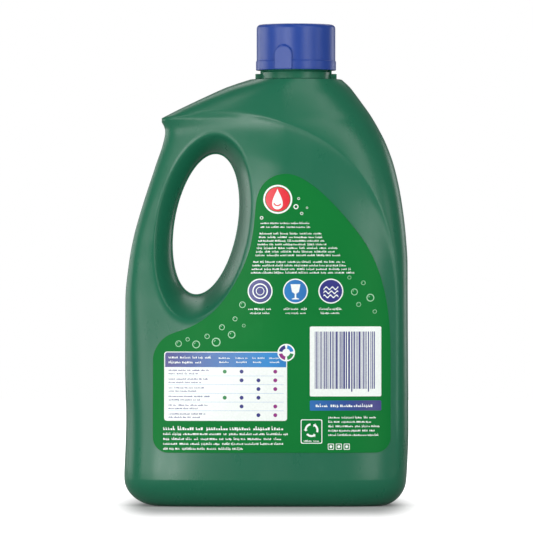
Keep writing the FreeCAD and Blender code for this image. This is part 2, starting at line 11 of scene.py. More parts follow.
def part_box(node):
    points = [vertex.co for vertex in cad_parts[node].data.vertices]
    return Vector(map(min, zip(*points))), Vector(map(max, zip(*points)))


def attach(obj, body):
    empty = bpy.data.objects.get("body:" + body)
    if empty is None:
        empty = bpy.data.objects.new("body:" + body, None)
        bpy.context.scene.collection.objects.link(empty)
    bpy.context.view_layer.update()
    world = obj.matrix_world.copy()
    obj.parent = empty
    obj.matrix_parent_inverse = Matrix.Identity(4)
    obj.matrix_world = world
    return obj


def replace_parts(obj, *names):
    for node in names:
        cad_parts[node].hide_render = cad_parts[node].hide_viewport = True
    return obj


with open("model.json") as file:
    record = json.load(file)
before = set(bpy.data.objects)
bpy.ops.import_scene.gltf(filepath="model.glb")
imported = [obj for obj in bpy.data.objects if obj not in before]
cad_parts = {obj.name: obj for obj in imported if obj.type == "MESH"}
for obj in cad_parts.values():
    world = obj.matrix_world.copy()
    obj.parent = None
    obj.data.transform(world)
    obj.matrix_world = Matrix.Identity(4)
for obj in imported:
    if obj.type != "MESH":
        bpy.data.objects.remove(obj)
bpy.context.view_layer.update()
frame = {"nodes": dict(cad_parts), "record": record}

# Sizes in millimetres, in the CAD frame: origin under the base, +X away from the handle, front at -Y.
MM = 0.001


def heights(node):
    """Foot and top of a CAD node, to a hundredth."""
    return [round(corner[2] / MM, 2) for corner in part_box(node)]


# The closure's axis, the pitch of its screw and the neck's rim come from the frame.
BEHAVIOUR = frame["record"]["behaviour"]
NECK_X = next(j["pos_m"][0] for j in BEHAVIOUR["joints"] if j["name"] == "cap_turn") / MM
THREAD_PITCH = round(2 * math.pi * BEHAVIOUR["couplings"][0]["ratio"] / MM, 2)
RIM = heights("bottle")[1]
SHOULDER = 255.0

# The blown form: rolled base edge, hollow under the base, and where the handle begins to thin.
BASE_ROLL = dict(left=18.0, right=14.0, depth=13.0, height=15.0)
ROLL_HEIGHT = BASE_ROLL["height"]
BASE_LEAN = 1.8
PUSH_UP = 3.0
TAPER_START = 12.0
STATIONS = np.array([
    # height, left, right, half depth, depth of the handle side as a share, squareness
    (0.0, -83.0, 82.5, 36.6, 1.00, 4.0),
    (22.0, -85.1, 84.5, 37.5, 1.00, 4.0),
    (45.0, -85.1, 85.3, 37.5, 0.96, 4.0),
    (85.0, -85.9, 85.1, 37.5, 0.82, 4.0),
    (123.0, -85.8, 84.9, 37.5, 0.64, 4.0),
    (145.0, -83.7, 84.8, 37.5, 0.54, 4.0),
    (160.0, -81.0, 83.9, 37.4, 0.49, 3.9),
    (181.0, -75.1, 81.4, 36.9, 0.47, 3.8),
    (202.0, -68.2, 77.1, 35.8, 0.47, 3.4),
    (217.0, -63.5, 71.8, 34.2, 0.51, 3.1),
    (225.0, -62.0, 67.8, 32.9, 0.54, 2.9),
    (231.0, -63.2, 64.4, 31.7, 0.57, 2.75),
    (235.0, -56.7, 61.9, 30.8, 0.61, 2.65),
    (240.0, -46.6, 58.3, 29.6, 0.68, 2.5),
    (246.0, -33.8, 53.9, 28.0, 0.80, 2.3),
    (251.0, -22.4, 50.0, 26.4, 0.92, 2.1),
    (SHOULDER, -10.2, 45.6, 25.0, 1.00, 2.0),
])

# The grip: an oval hole inside the oval crease of its flare, both leaning with the handle.
HOLE = dict(x=-36.0, z=168.5, across=18.8, along=42.5)
CREASE = dict(x=-37.8, z=166.9, across=27.9, along=55.9)
HOLE_LEAN = math.radians(-9.9)
GRIP_CURVE = 1.7

# The recessed panel: its depth, the crease at its foot, the height it deepens over, and its arch.
PANEL_INSET = 1.5
PANEL_FOOT = 16.2
PANEL_RUN = 46.0
PANEL_SIDE = 79.0
PANEL_CORNER = 8.0
ARCH = [(-63.0, 230.8), (-32.0, 235.6), (4.0, 230.6), (32.0, 219.4),
        (51.0, 204.6), (69.0, 177.0), (76.6, 150.0)]

# The label film: how far it stands out of the panel, its foot and corners, and its two flanks.
LABEL_OUT = 0.35
LABEL_FOOT = 32.6
LABEL_CORNER = 9.0
LABEL_RIGHT = [(13.2, 198.0), (25.7, 192.7), (38.2, 182.0), (49.6, 169.4),
               (61.1, 153.4), (66.8, 140.8), (71.4, 123.6), (74.1, 88.0)]
LABEL_LEFT = [(-67.2, 88.2), (-65.2, 95.0), (-59.4, 101.4), (-49.2, 105.4), (-39.9, 109.8),
              (-30.7, 116.8), (-21.6, 128.1), (-14.4, 141.0), (-10.0, 152.4), (-7.6, 164.0),
              (-6.4, 175.4), (-4.9, 185.4), (-1.0, 192.6), (5.4, 196.9)]


# ---- curves and the blown form ----
def smooth(t):
    """0 below 0, 1 above 1, with a soft rise between."""
    t = np.clip(t, 0.0, 1.0)
    return t * t * (3 - 2 * t)


def unit(vectors):
    """The vectors at length 1."""
    return vectors / np.maximum(np.linalg.norm(vectors, axis=-1, keepdims=True), 1e-12)


def hermite(t, step, low, high, low_slope, high_slope):
    """Cubic over a step, from its values and slopes at both ends."""
    return ((2 * t ** 3 - 3 * t ** 2 + 1) * low + (t ** 3 - 2 * t ** 2 + t) * step * low_slope
            + (3 * t ** 2 - 2 * t ** 3) * high + (t ** 3 - t ** 2) * step * high_slope)


def monotone(xs, ys):
    """Cubic through stations that never overshoots."""
    step, rise = np.diff(xs), np.diff(ys) / np.diff(xs)
    slope = np.concatenate(([rise[0]], np.zeros(len(xs) - 2), [rise[-1]]))
    for i in range(1, len(xs) - 1):
        if rise[i - 1] * rise[i] > 0:
            w1, w2 = 2 * step[i] + step[i - 1], step[i] + 2 * step[i - 1]
            slope[i] = (w1 + w2) / (w1 / rise[i - 1] + w2 / rise[i])

    def value(z):
        z = np.asarray(z, float)
        i = np.clip(np.searchsorted(xs, z, side="right") - 1, 0, len(step) - 1)
        t = np.clip((z - xs[i]) / step[i], 0.0, 1.0)
        return hermite(t, step[i], ys[i], ys[i + 1], slope[i], slope[i + 1])
    return value


COLUMNS = [monotone(STATIONS[:, 0], STATIONS[:, k]) for k in range(1, 6)]


def body_at(z, inset):
    """The stations' values at height z, for the form moved in by inset."""
    left, right, depth, part, square = [column(z) for column in COLUMNS]
    roll = np.clip(1 - z / ROLL_HEIGHT, 0.0, 1.0)
    tuck = 1 - np.sqrt(1 - roll ** 2)
    lean = BASE_LEAN * np.clip(1 - z / PANEL_FOOT, 0.0, 1.0)
    return (left + tuck * BASE_ROLL["left"] + inset, right - tuck * BASE_ROLL["right"] - inset,
            depth - tuck * BASE_ROLL["depth"] - lean - inset, part, square)


def thinning(x, left, part):
    """How much of the depth is left towards the handle."""
    return 1 - (1 - part) * smooth((TAPER_START - x) / (TAPER_START - left))


def half_depth(x, z, inset):
    """Distance from the parting plane to the broad face."""
    left, right, depth, part, square = body_at(z, inset)
    u = np.clip(np.abs((2 * x - left - right) / (right - left)), 0.0, 0.99999)
    return depth * (1 - u ** square) ** (1 / square) * thinning(x, left, part)


def on_form(a, z, inset):
    """x and half depth at angle a of the section at height z."""
    left, right, depth, part, square = body_at(z, inset)
    c, s = np.cos(a), np.sin(a)
    r = (np.abs(c) ** square + np.abs(s) ** square) ** (-1 / square)
    x = (left + right) / 2 - (right - left) / 2 * r * c
    return x, depth * r * s * thinning(x, left, part)


def angle_at(x, z):
    """The angle of the section that on_form places at x."""
    left, right, depth, part, square = body_at(z, 0.0)
    u = np.clip((2 * x - left - right) / (right - left), -1.0, 1.0)
    return np.arctan2((1 - np.abs(u) ** square) ** (1 / square), -u)


def spline(points, start, end, step):
    """Smooth curve through the points, with unit tangents at both ends."""
    p = np.array(points, float)
    h = np.linalg.norm(np.diff(p, axis=0), axis=1)
    n = len(p)
    a, b = np.zeros((n, n)), np.zeros((n, 2))
    a[0, 0] = a[-1, -1] = 1.0
    b[0], b[-1] = start, end
    for i in range(1, n - 1):
        a[i, i - 1:i + 2] = h[i], 2 * (h[i - 1] + h[i]), h[i - 1]
        b[i] = 3 * (h[i] * (p[i] - p[i - 1]) / h[i - 1] + h[i - 1] * (p[i + 1] - p[i]) / h[i])
    m = np.linalg.solve(a, b)
    out = []
    for i in range(n - 1):
        t = np.linspace(0, 1, max(int(h[i] / step), 1), endpoint=False)[:, None]
        out.append(hermite(t, h[i], p[i], p[i + 1], m[i], m[i + 1]))
    return np.vstack(out + [p[-1:]])


def arc(cx, cz, r, start, end, count):
    """Points on a circle, with angles in degrees."""
    t = np.radians(np.linspace(start, end, count))
    return np.column_stack((cx + r * np.cos(t), cz + r * np.sin(t)))


def lengths_along(line):
    """Length along a polyline up to each of its points."""
    return np.concatenate(([0.0], np.cumsum(np.linalg.norm(np.diff(line, axis=0), axis=1))))


def evenly(line, step):
    """The polyline again, with points at even distances."""
    far = lengths_along(line)
    at = np.linspace(0, far[-1], max(int(far[-1] / step), 2) + 1)
    return np.column_stack((np.interp(at, far, line[:, 0]), np.interp(at, far, line[:, 1])))


def panel_outline():
    """Along the arch, down the far side, round the corner and back along the foot."""
    start = unit(np.array(ARCH[1]) - np.array(ARCH[0]))
    side, foot, corner = PANEL_SIDE, PANEL_FOOT, PANEL_CORNER
    arch = spline(ARCH + [(side, 0.7 * ARCH[-1][1])], start, (0, -1), 1.0)
    heel = (STATIONS[0, 1] + 2 * corner, foot)
    return np.vstack(([arch[0] - 60 * start], arch, [(side, foot + corner)],
                      arc(side - corner, foot + corner, corner, 0, -90, 12), [heel, (-130.0, foot)]))


PANEL_LINE = evenly(panel_outline(), 1.0)


def side_of_line(points, line, batch=4000):
    """Signed distance to a polyline, positive on its right, for a batch of points at a time."""
    starts, steps = line[:-1], np.diff(line, axis=0)
    out = []
    for k in range(0, len(points), batch):
        away = points[k:k + batch, None] - starts
        t = np.clip((away * steps).sum(2) / (steps ** 2).sum(1), 0, 1)
        far = np.linalg.norm(away - t[..., None] * steps, axis=2)
        rows, nearest = np.arange(len(away)), far.argmin(1)
        step, at = steps[nearest], away[rows, nearest]
        side = np.where(step[:, 0] * at[:, 1] <= step[:, 1] * at[:, 0], 1.0, -1.0)
        out.append(side * far[rows, nearest])
    return np.concatenate(out)


def panel_depth(z):
    """The recess starts at nothing on the foot line and deepens slowly above it."""
    run = np.clip((z - PANEL_FOOT) / PANEL_RUN, 0.0, 1.0)
    return PANEL_INSET * (0.04 + 0.96 * np.sin(run * math.pi / 2))


def panel_step(x, z):
    """How far the surface lies under the frame: a short wall, softer and deeper under the arch."""
    d = side_of_line(np.column_stack((x, z)), PANEL_LINE)
    d = (d + np.sqrt(d ** 2 + 0.5 ** 2)) / 2
    high = smooth((z - 140) / 50)
    wall = 1 - np.exp(-(d / (0.8 + 0.9 * high)) ** 1.3)
    run_out = 1 - np.exp(-d / (3.6 + 4.0 * high))
    sag = 0.8 * high * (1 - np.exp(-d / 7.0)) * (1 - smooth((d - 6.0) / 20.0))
    return panel_depth(z) * ((0.45 - 0.15 * high) * wall + (0.55 + 0.15 * high) * run_out) + sag


def oval(shape, angle):
    """Points of one of the grip's ovals, at angles from its short axis."""
    across, along = shape["across"] * np.cos(angle), shape["along"] * np.sin(angle)
    c, s = math.cos(HOLE_LEAN), math.sin(HOLE_LEAN)
    return np.column_stack((shape["x"] + across * c - along * s, shape["z"] + across * s + along * c))


# ---- mesh helpers ----
def new_object(name, mesh, material, body=None):
    """A smooth object of a Mesh in millimetres, riding on a body and filling a material slot."""
    data = bpy.data.meshes.new(name)
    data.from_pydata([tuple(float(c) * MM for c in v) for v in mesh.verts], [], mesh.faces)
    data.validate()
    data.update()
    data.shade_smooth()
    ways = soft_normals(mesh.verts, mesh.faces)
    for index, way in mesh.normals.items():
        ways[index] = way
    data.normals_split_custom_set_from_vertices(ways)
    data.materials.append(material)
    obj = bpy.data.objects.new(name, data)
    bpy.context.scene.collection.objects.link(obj)
    if body:
        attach(obj, body)
    return obj


def soft_normals(verts, faces):
    """Vertex normals from the corner angles, where slivers don't count."""
    v = np.array(verts, float)
    total, spare = np.zeros_like(v), np.zeros_like(v)
    for count in {len(f) for f in faces}:
        f = np.array([face for face in faces if len(face) == count])
        p = v[f]
        normal = np.cross(p[:, 0] - p[:, count // 2], p[:, 1] - p[:, (count // 2 + 1) % count])
        longest = np.linalg.norm(p - np.roll(p, 1, axis=1), axis=2).max(1)
        good = np.linalg.norm(normal, axis=1) > 0.04 * longest ** 2
        for k in range(count):
            a, b = (unit(p[:, i % count] - p[:, k]) for i in (k + 1, k - 1))
            angle = np.arccos(np.clip((a * b).sum(1), -1, 1))
            np.add.at(total, f[:, k], unit(normal) * (angle * good)[:, None])
            np.add.at(spare, f[:, k], normal)
    return unit(total + 1e-6 * spare)


def turned(profile, angle):
    """A (radius, height) profile at an angle about the neck's axis."""
    return [(NECK_X + r * math.cos(angle), r * math.sin(angle), z) for r, z in profile]


class Mesh:
    """Vertices and faces that shapes are added to, and the normals that are known exactly."""

    def __init__(self):
        self.verts, self.faces, self.normals = [], [], {}

    def row(self, points):
        """New vertices. Gives their indices."""
        self.verts += [tuple(p) for p in points]
        return list(range(len(self.verts) - len(points), len(self.verts)))

    def add(self, verts, faces):
        ids = self.row(verts)
        self.faces += [tuple(ids[i] for i in f) for f in faces]

    def grid(self, rows):
        """Quads between equal rows of points."""
        rows = [self.row(points) for points in rows]
        for low, high in zip(rows, rows[1:]):
            self.faces += zip(low, low[1:], high[1:], high)

    def band(self, low, high, flip=False):
        """Quads between two closed loops of vertices."""
        quads = zip(low, low[1:] + low[:1], high[1:] + high[:1], high)
        self.faces += [quad[::-1] if flip else quad for quad in quads]

    def lathe(self, profile, turns):
        """A profile turned once round the neck's axis."""
        rows = [turned(profile, 2 * math.pi * k / turns) for k in range(turns)]
        self.grid(rows + rows[:1])


def closed_edges(start, count):
    """Index pairs of a closed loop of points."""
    return [(start + i, start + (i + 1) % count) for i in range(count)]


def triangles(points, edges, is_wanted):
    """Anticlockwise triangles between flat points and along the edges, where their middles are wanted."""
    out = delaunay_2d_cdt([Vector(p) for p in points], edges, [], 0, 1e-7)
    faces = np.array([k[0] for k in out[3]])[np.array(out[2])]
    faces = faces[is_wanted(points[faces].mean(1))]
    b, c = (points[faces[:, k]] - points[faces[:, 0]] for k in (1, 2))
    clockwise = b[:, 0] * c[:, 1] < b[:, 1] * c[:, 0]
    faces[clockwise] = faces[clockwise, ::-1]
    return faces.tolist()


def inside(points, loop):
    """Even-odd test of many points against a closed loop."""
    hit = np.zeros(len(points), bool)
    for (x1, z1), (x2, z2) in zip(loop, np.roll(loop, -1, axis=0)):
        crosses = (z1 > points[:, 1]) != (z2 > points[:, 1])
        with np.errstate(divide="ignore", invalid="ignore"):
            at = (x2 - x1) * (points[:, 1] - z1) / (z2 - z1) + x1
        hit ^= crosses & (points[:, 0] < at)
    return hit


def thin_out(points, keep_from, reach, batch=500):
    """The points further than reach from all of keep_from, for a batch of them at a time."""
    kept = [points[:0]]
    for part in (points[k:k + batch] for k in range(0, len(points), batch)):
        kept.append(part[((part[:, None] - keep_from) ** 2).sum(2).min(1) > reach ** 2])
    return np.vstack(kept)


# ---- the bottle's chart: length round the section, and length up the side ----
SPACING = 2.3
ROLL_LENGTH = 27.0
SECTION_ANGLES = np.linspace(0, math.pi, 2001)

SECTION_LENGTHS = lengths_along(np.column_stack(on_form(SECTION_ANGLES, np.full(2001, 100.0), 0.0)))
CHART_WIDE = SECTION_LENGTHS[-1]
CHART_HIGH = ROLL_LENGTH + SHOULDER - ROLL_HEIGHT


def to_chart(x, z):
    across = np.interp(angle_at(x, z), SECTION_ANGLES, SECTION_LENGTHS)
    rolled = ROLL_LENGTH * np.arccos(np.clip(1 - z / ROLL_HEIGHT, -1, 1)) / (math.pi / 2)
    return np.column_stack((across, np.where(z < ROLL_HEIGHT, rolled, ROLL_LENGTH + z - ROLL_HEIGHT)))


def from_chart(across, up):
    """Angle and height of a place on the chart."""
    z = np.where(up < ROLL_LENGTH, ROLL_HEIGHT * (1 - np.cos(up / ROLL_LENGTH * math.pi / 2)),
                 up - ROLL_LENGTH + ROLL_HEIGHT)
    return np.interp(across, SECTION_LENGTHS, SECTION_ANGLES), z


def on_surface(across, up):
    """x, half depth and height of places on the chart."""
    a, z = from_chart(np.clip(across, 0, CHART_WIDE), np.clip(up, 0, CHART_HIGH))
    x, y = on_form(a, z, panel_step(on_form(a, z, 0.0)[0], z))
    return np.column_stack((x, y, z))


def surface_normals(across, up, on_seam):
    """Unit normals from the surface itself, square to the parting plane on the seam."""
    reach = 0.12
    along = on_surface(across + reach, up) - on_surface(across - reach, up)
    upward = on_surface(across, up + reach) - on_surface(across, up - reach)
    normal = np.cross(upward, along)
    normal *= np.sign(np.median(normal[:, 1]))
    normal[on_seam, 1] = 0.0
    return unit(normal)


# The grip's rings: shares run from 0 on the hole's edge to 1 on the crease, and on to the flat panel.
GRIP_RAYS = 168
LIP_SHARE = 0.07
LIP_DEPTH = 0.75
ROUND_OVER = 1.3
FLAT_SHARE = 1.3
LIP_SHARES = [0, 0.004, 0.018, 0.045, LIP_SHARE]
WALL_SHARES = [LIP_SHARE + 0.83 * (k / 15) ** 1.6 for k in range(1, 16)]
CREASE_SHARES = [0.93, 0.955, 0.975, 0.99, 1.0, 1.012, 1.03, 1.055, 1.09, 1.14, 1.22, 1.32]
SUPPORT_SHARES = (1.45, 1.6)


def grip_loop(share):
    """x and height of points round the grip."""
    angle = np.linspace(0, 2 * math.pi, GRIP_RAYS, endpoint=False)
    return (1 - share) * oval(HOLE, angle) + share * oval(CREASE, angle)


def flare_depth(share, crease_depth, flat):
    """Depth of a ring: a small round lip, the curved wall, and a soft edge into the panel."""
    if share == 0:
        return np.zeros(GRIP_RAYS)
    if share > FLAT_SHARE:
        return flat
    wall = crease_depth * (max(share - LIP_SHARE, 0.0) / (1 - LIP_SHARE)) ** (1 / GRIP_CURVE)
    if share < 0.13:
        lip = LIP_DEPTH * math.sqrt(1 - (1 - min(share / 0.02, 1)) ** 2)
        wall = (wall ** 3 + lip ** 3) ** (1 / 3)
    soft = ROUND_OVER * (1 - smooth((share - 1.05) / 0.25))
    return (wall + flat - np.sqrt((wall - flat) ** 2 + soft ** 2)) / 2


def grip_rings():
    """Rings of points from the parting plane out to the panel."""
    crease_x, crease_z = grip_loop(1.0).T
    crease_depth = half_depth(crease_x, crease_z, panel_depth(crease_z))
    rings = []
    for share in LIP_SHARES + WALL_SHARES + CREASE_SHARES:
        x, z = grip_loop(share).T
        depth = flare_depth(share, crease_depth, half_depth(x, z, panel_step(x, z)))
        rings.append(np.column_stack((x, np.maximum(depth, 0), z)))
    return rings


EDGE_OFFSETS = (-1.6, -0.8, -0.4, 0.0, 0.35, 0.7, 1.1, 1.6, 2.3, 3.3, 4.6, 6.4)


def panel_edge_points(support):
    """Rows of chart points along the panel's edge, closest where it turns most."""
    line = evenly(panel_outline(), 1.6)
    way = unit(np.gradient(line, axis=0))
    right = np.column_stack((way[:, 1], -way[:, 0]))
    rows = []
    for offset in EDGE_OFFSETS:
        x, z = (line + offset * right).T
        low, high = body_at(z, 0.0)[:2]
        keep = (x > low + 0.4) & (x < high - 0.4) & (z > 1)
        points = to_chart(x[keep], z[keep])
        rows.append(thin_out(points[~inside(points, support)], support, 1.0))
    return rows


def chart_grid():
    """The chart's border, as a closed loop, and the even points within it."""
    acrosses, ups = (np.linspace(0, size, int(size / SPACING) + 1) for size in (CHART_WIDE, CHART_HIGH))
    grid = np.array([[(across, up) for across in acrosses] for up in ups])
    border = np.vstack((grid[:, 0], grid[-1, 1:], grid[-2::-1, -1], grid[0, -2:0:-1]))
    return border, grid[1:-1, 1:-1].reshape(-1, 2)


def chart_mesh(grip_edge):
    """Points and triangles of the chart round the grip, and the indices of its border."""
    supports = [to_chart(*grip_loop(share).T) for share in SUPPORT_SHARES]
    border, grid = chart_grid()
    fixed = np.vstack([grip_edge, *supports, *panel_edge_points(supports[-1]), border])
    loose = thin_out(grid[~inside(grid, grip_edge)], fixed, 0.62 * SPACING)
    points = np.vstack((fixed, loose))
    start = len(fixed) - len(border)
    edges = closed_edges(0, len(grip_edge)) + closed_edges(start, len(border))
    faces = triangles(points, edges, lambda middles: ~inside(middles, grip_edge))
    return points, faces, range(start, len(fixed))


def add_grip(mesh, rings, front_edge, back_edge):
    """Quads from the parting plane out to the chart's edge, on both faces."""
    parting = mesh.row(rings[0])
    for side, edge in ((-1, front_edge), (1, back_edge)):
        loops = [parting, *(mesh.row(ring * (1, side, 1)) for ring in rings[1:-1]), edge]
        for low, high in zip(loops, loops[1:]):
            mesh.band(low, high, side < 0)


def add_form(mesh):
    """Front and back of the form. Gives its foot loop and its top loop."""
    rings = grip_rings()
    edge = rings[-1]
    points, faces, border = chart_mesh(to_chart(edge[:, 0], edge[:, 2]))
    across, up = points.T
    place = on_surface(across, up)
    on_seam = (across < 1e-6) | (across > CHART_WIDE - 1e-6)
    place[on_seam, 1] = 0.0
    place[:len(edge)] = edge
    normals = surface_normals(across, up, on_seam)

    back = mesh.row(place * (1, -1, 1))
    mesh.normals.update(enumerate(normals * (1, -1, 1)))
    off_seam = np.flatnonzero(place[:, 1])
    for i, index in zip(off_seam.tolist(), mesh.row(place[off_seam])):
        back[i] = index
        mesh.normals[index] = normals[i]
    for f in faces:
        mesh.faces += [tuple(f), tuple(back[i] for i in f[::-1])]
    add_grip(mesh, rings, list(range(len(edge))), back[:len(edge)])

    loops = []
    for row in ([i for i in border if up[i] < 1e-6], [i for i in border if up[i] > CHART_HIGH - 1e-6]):
        row.sort(key=lambda i: across[i])
        loops.append(row + [back[i] for i in row[-2:0:-1]])
    return loops


def rings_inward(mesh, loop, targets, flip):
    """Quads from a closed loop through each further ring of points. Gives the last loop."""
    for ring in targets:
        inner = mesh.row(ring)
        mesh.band(loop, inner, flip)
        loop = inner
    return loop


# ---- materials ----
def linear(r, g, b):
    """Linear colour of an sRGB one given in 0..255."""
    return tuple((c / 255 / 12.92) if c / 255 < 0.04045 else ((c / 255 + 0.055) / 1.055) ** 2.4
                 for c in (r, g, b)) + (1.0,)


def scaled(colour, share):
    """The colour made darker or lighter."""
    return tuple(min(1.0, share * c) for c in colour[:3]) + (1.0,)


class Nodes:
    """Short ways to add and link the nodes of a tree."""

    def __init__(self, tree):
        self.tree = tree

    def add(self, kind, sockets, **settings):
        """A new node with its settings, its inputs linked or set."""
        node = self.tree.nodes.new("ShaderNode" + kind)
        for key, value in settings.items():
            setattr(node, key, value)
        for name, value in sockets.items():
            self.put(node, name, value)
        return node

    def put(self, node, name, value):
        """Link a socket to one of the node's inputs, or set a number or colour on it."""
        socket = node.inputs[name]
        if isinstance(value, bpy.types.NodeSocket):
            self.tree.links.new(value, socket)
        else:
            socket.default_value = value


class Shader(Nodes):
    """A node material."""

    def __init__(self, name):
        self.material = bpy.data.materials.new(name)
        self.material.use_nodes = True
        super().__init__(self.material.node_tree)
        self.bsdf = self.tree.nodes["Principled BSDF"]
        self.position = self.add("TexCoord", {}).outputs["Object"]

    def surface(self, **values):
        """The principled surface's inputs, with _ for a space in their names."""
        for name, value in values.items():
            self.put(self.bsdf, name.replace("_", " "), value)

    def noise(self, scale, detail=3.0, roughness=0.5, stretch=None):
        """Noise with a given number of waves per metre."""
        place = self.vector_maths("MULTIPLY", self.position, stretch) if stretch else self.position
        sockets = {"Vector": place, "Scale": scale, "Detail": detail, "Roughness": roughness}
        return self.add("TexNoise", sockets).outputs["Fac"]

    def span(self, value, low, high, to_low, to_high, kind="LINEAR"):
        """The value moved from one range to another, and kept within it."""
        sockets = {"Value": value, "From Min": low, "From Max": high, "To Min": to_low, "To Max": to_high}
        return self.add("MapRange", sockets, interpolation_type=kind).outputs["Result"]

    def mix(self, share, first, second):
        """A blend of two colours, which are the node's sockets 6 and 7."""
        return self.add("Mix", {0: share, 6: first, 7: second}, data_type="RGBA").outputs[2]

    def maths(self, operation, first, second=0.0, kind="Math", output=0):
        return self.add(kind, {0: first, 1: second}, operation=operation).outputs[output]

    def vector_maths(self, operation, first, second=(0.0, 0.0, 0.0), output=0):
        return self.maths(operation, first, second, "VectorMath", output)

    def bump(self, layers):
        """Bumps one over the other, as (height socket, height in metres)."""
        normal = {}
        for height, distance in layers:
            sockets = {"Height": height, "Distance": distance, "Strength": 1.0, **normal}
            normal = {"Normal": self.add("Bump", sockets).outputs["Normal"]}
        self.surface(**normal)


PLASTIC_IOR = 1.5
SEAM = dict(half=0.00012, foot=0.0004, high=0.00012)


def plastic(name, colour, worn, roughness, grain, specular=0.5, has_seam=False):
    """Moulded plastic: slow colour drift, rubbed patches, scuffs, a fine grain, maybe a seam."""
    s = Shader(name)
    drift = s.span(s.noise(14.0, 2.0), 0.3, 0.7, 0.0, 1.0)
    base = s.mix(drift, colour, scaled(colour, 0.93))
    rubbed = s.span(s.noise(38.0, 5.0, 0.6, (1.0, 1.0, 0.5)), 0.62, 0.80, 0.0, 0.10)
    scuff = s.noise(90.0, 6.0, 0.65, (1.0, 1.0, 0.35))
    s.surface(Base_Color=s.mix(rubbed, base, worn), IOR=PLASTIC_IOR, Specular_IOR_Level=specular,
              Roughness=s.span(scuff, 0.3, 0.75, roughness - 0.03, roughness + 0.06))
    layers = [(s.noise(620.0, 2.0), grain), (s.noise(60.0, 2.0), 6 * grain)]
    if has_seam:
        off_plane = s.maths("ABSOLUTE", s.add("SeparateXYZ", {0: s.position}).outputs["Y"])
        ridge = s.span(off_plane, SEAM["half"], SEAM["foot"], 1.0, 0.0)
        layers.append((ridge, SEAM["high"]))
    s.bump(layers)
    return s.material


def gel_material():
    """Thick pale gel, a little uneven in colour and on its surface."""
    s = Shader("gel")
    drift = s.span(s.noise(22.0), 0.3, 0.7, 0.0, 1.0)
    s.surface(Base_Color=s.mix(drift, linear(150, 205, 215), linear(172, 220, 224)),
              Roughness=s.span(s.noise(45.0), 0.3, 0.7, 0.08, 0.16))
    s.bump([(s.noise(30.0, 1.0), 0.0006)])
    return s.material


def printed(name):
    """The film's sheen and the faint relief of print, without its colour."""
    s = Shader(name)
    s.surface(Roughness=s.span(s.noise(300.0), 0.3, 0.7, 0.29, 0.37))
    s.bump([(s.noise(1800.0, 1.0), 0.000002)])
    return s


def ink(name, colour):
    """One printed colour, a little uneven."""
    s = printed(name)
    patchy = s.span(s.noise(900.0, 2.0), 0.35, 0.65, 0.0, 1.0)
    s.surface(Base_Color=s.mix(patchy, colour, scaled(colour, 1.06)))
    return s.material


HEADER_RUN = (-0.058, 0.060)


def header_ink():
    """Navy that turns to bright blue halfway across the label and back again."""
    s = printed("ink_header")
    across = s.span(s.add("SeparateXYZ", {0: s.position}).outputs["X"], *HEADER_RUN, 0.0, 2.0)
    s.surface(Base_Color=s.mix(s.maths("PINGPONG", across, 1.0), linear(36, 38, 124), linear(30, 134, 204)))
    return s.material


BOTTLE_HDPE = plastic("bottle_hdpe", linear(28, 105, 77), linear(92, 150, 122), 0.29, 0.00001,
                      specular=0.36, has_seam=True)
CAP_PP = plastic("cap_pp", linear(37, 69, 151), linear(120, 140, 215), 0.31, 0.000006, specular=0.34)
LABEL_FILM = plastic("label_film", linear(12, 119, 52), linear(60, 160, 90), 0.42, 0.000004,
                     specular=0.08)
LINER_FOAM = plastic("liner_foam", linear(232, 232, 226), linear(240, 240, 236), 0.8, 0.00006)


# ---- the bottle ----
BASE_CENTRE = np.array([1.7, 0.0, 0.0])
BASE_SHARES = (0.97, 0.93, 0.89, 0.86, 0.83, 0.80, 0.77, 0.74, 0.71, 0.67, 0.62, 0.5, 0.35, 0.2, 0.08)
FOOT_SHARE = 0.86

# The shoulder's last stretch up to the neck, as a share of the way and a rise.
NECK_FOOT = 20.6
PLATEAU = ((0.04, 0.12), (0.12, 0.22), (0.4, 0.26), (0.8, 0.26))

# Up the neck, as radius and height: two collars over the shoulder, then the wall, the round rim
# and the bore, measured from the rim, and the bore's foot.
WALL_R, BORE_R = 17.6, 15.4
COLLARS = [(20.7, 0.27), (20.46, 0.4), (20.4, 0.7), (20.4, 4.3), (20.3, 4.6), (20.0, 4.8),
           (19.45, 4.8), (19.25, 4.95), (19.2, 5.2), (19.2, 6.9), (19.05, 7.2), (17.9, 7.7),
           (17.65, 7.85), (WALL_R, 8.1)]
FINISH = [(WALL_R, -1.05), (17.45, -0.6), (17.1, -0.15), (16.8, -0.02), (16.0, 0.0), (15.6, -0.1),
          (BORE_R, -0.45), (BORE_R, -15.35)]
BORE_FOOT = [(BORE_R, 1.0), (16.2, -0.8)]


def loop_points(mesh, loop):
    return np.array([mesh.verts[i] for i in loop])


def base_rings(points):
    """Rings of the underside: a flat foot to stand on, and the hollow within it."""
    rings = []
    for share in BASE_SHARES:
        ring = BASE_CENTRE + (points - BASE_CENTRE) * share
        ring[:, 2] = PUSH_UP * smooth((FOOT_SHARE - share) / 0.17)
        rings.append(ring)
    return rings


def neck_rings(top):
    """Rings from the form's top loop over the shoulder, up the neck and down its bore."""
    turn = np.arctan2(top[:, 1], top[:, 0] - NECK_X)

    def circle(r, z):
        return np.column_stack((NECK_X + r * np.cos(turn), r * np.sin(turn), np.full(len(turn), z)))

    rings = []
    for share, rise in PLATEAU:
        ring = top + share * (circle(NECK_FOOT, SHOULDER) - top)
        ring[:, 2] = SHOULDER + rise
        rings.append(ring)
    for profile, level in ((COLLARS, SHOULDER), (FINISH, RIM), (BORE_FOOT, SHOULDER)):
        rings += [circle(r, level + rise) for r, rise in profile]
    return rings


THREAD_STEPS = 56
THREAD_FADE = 7.0


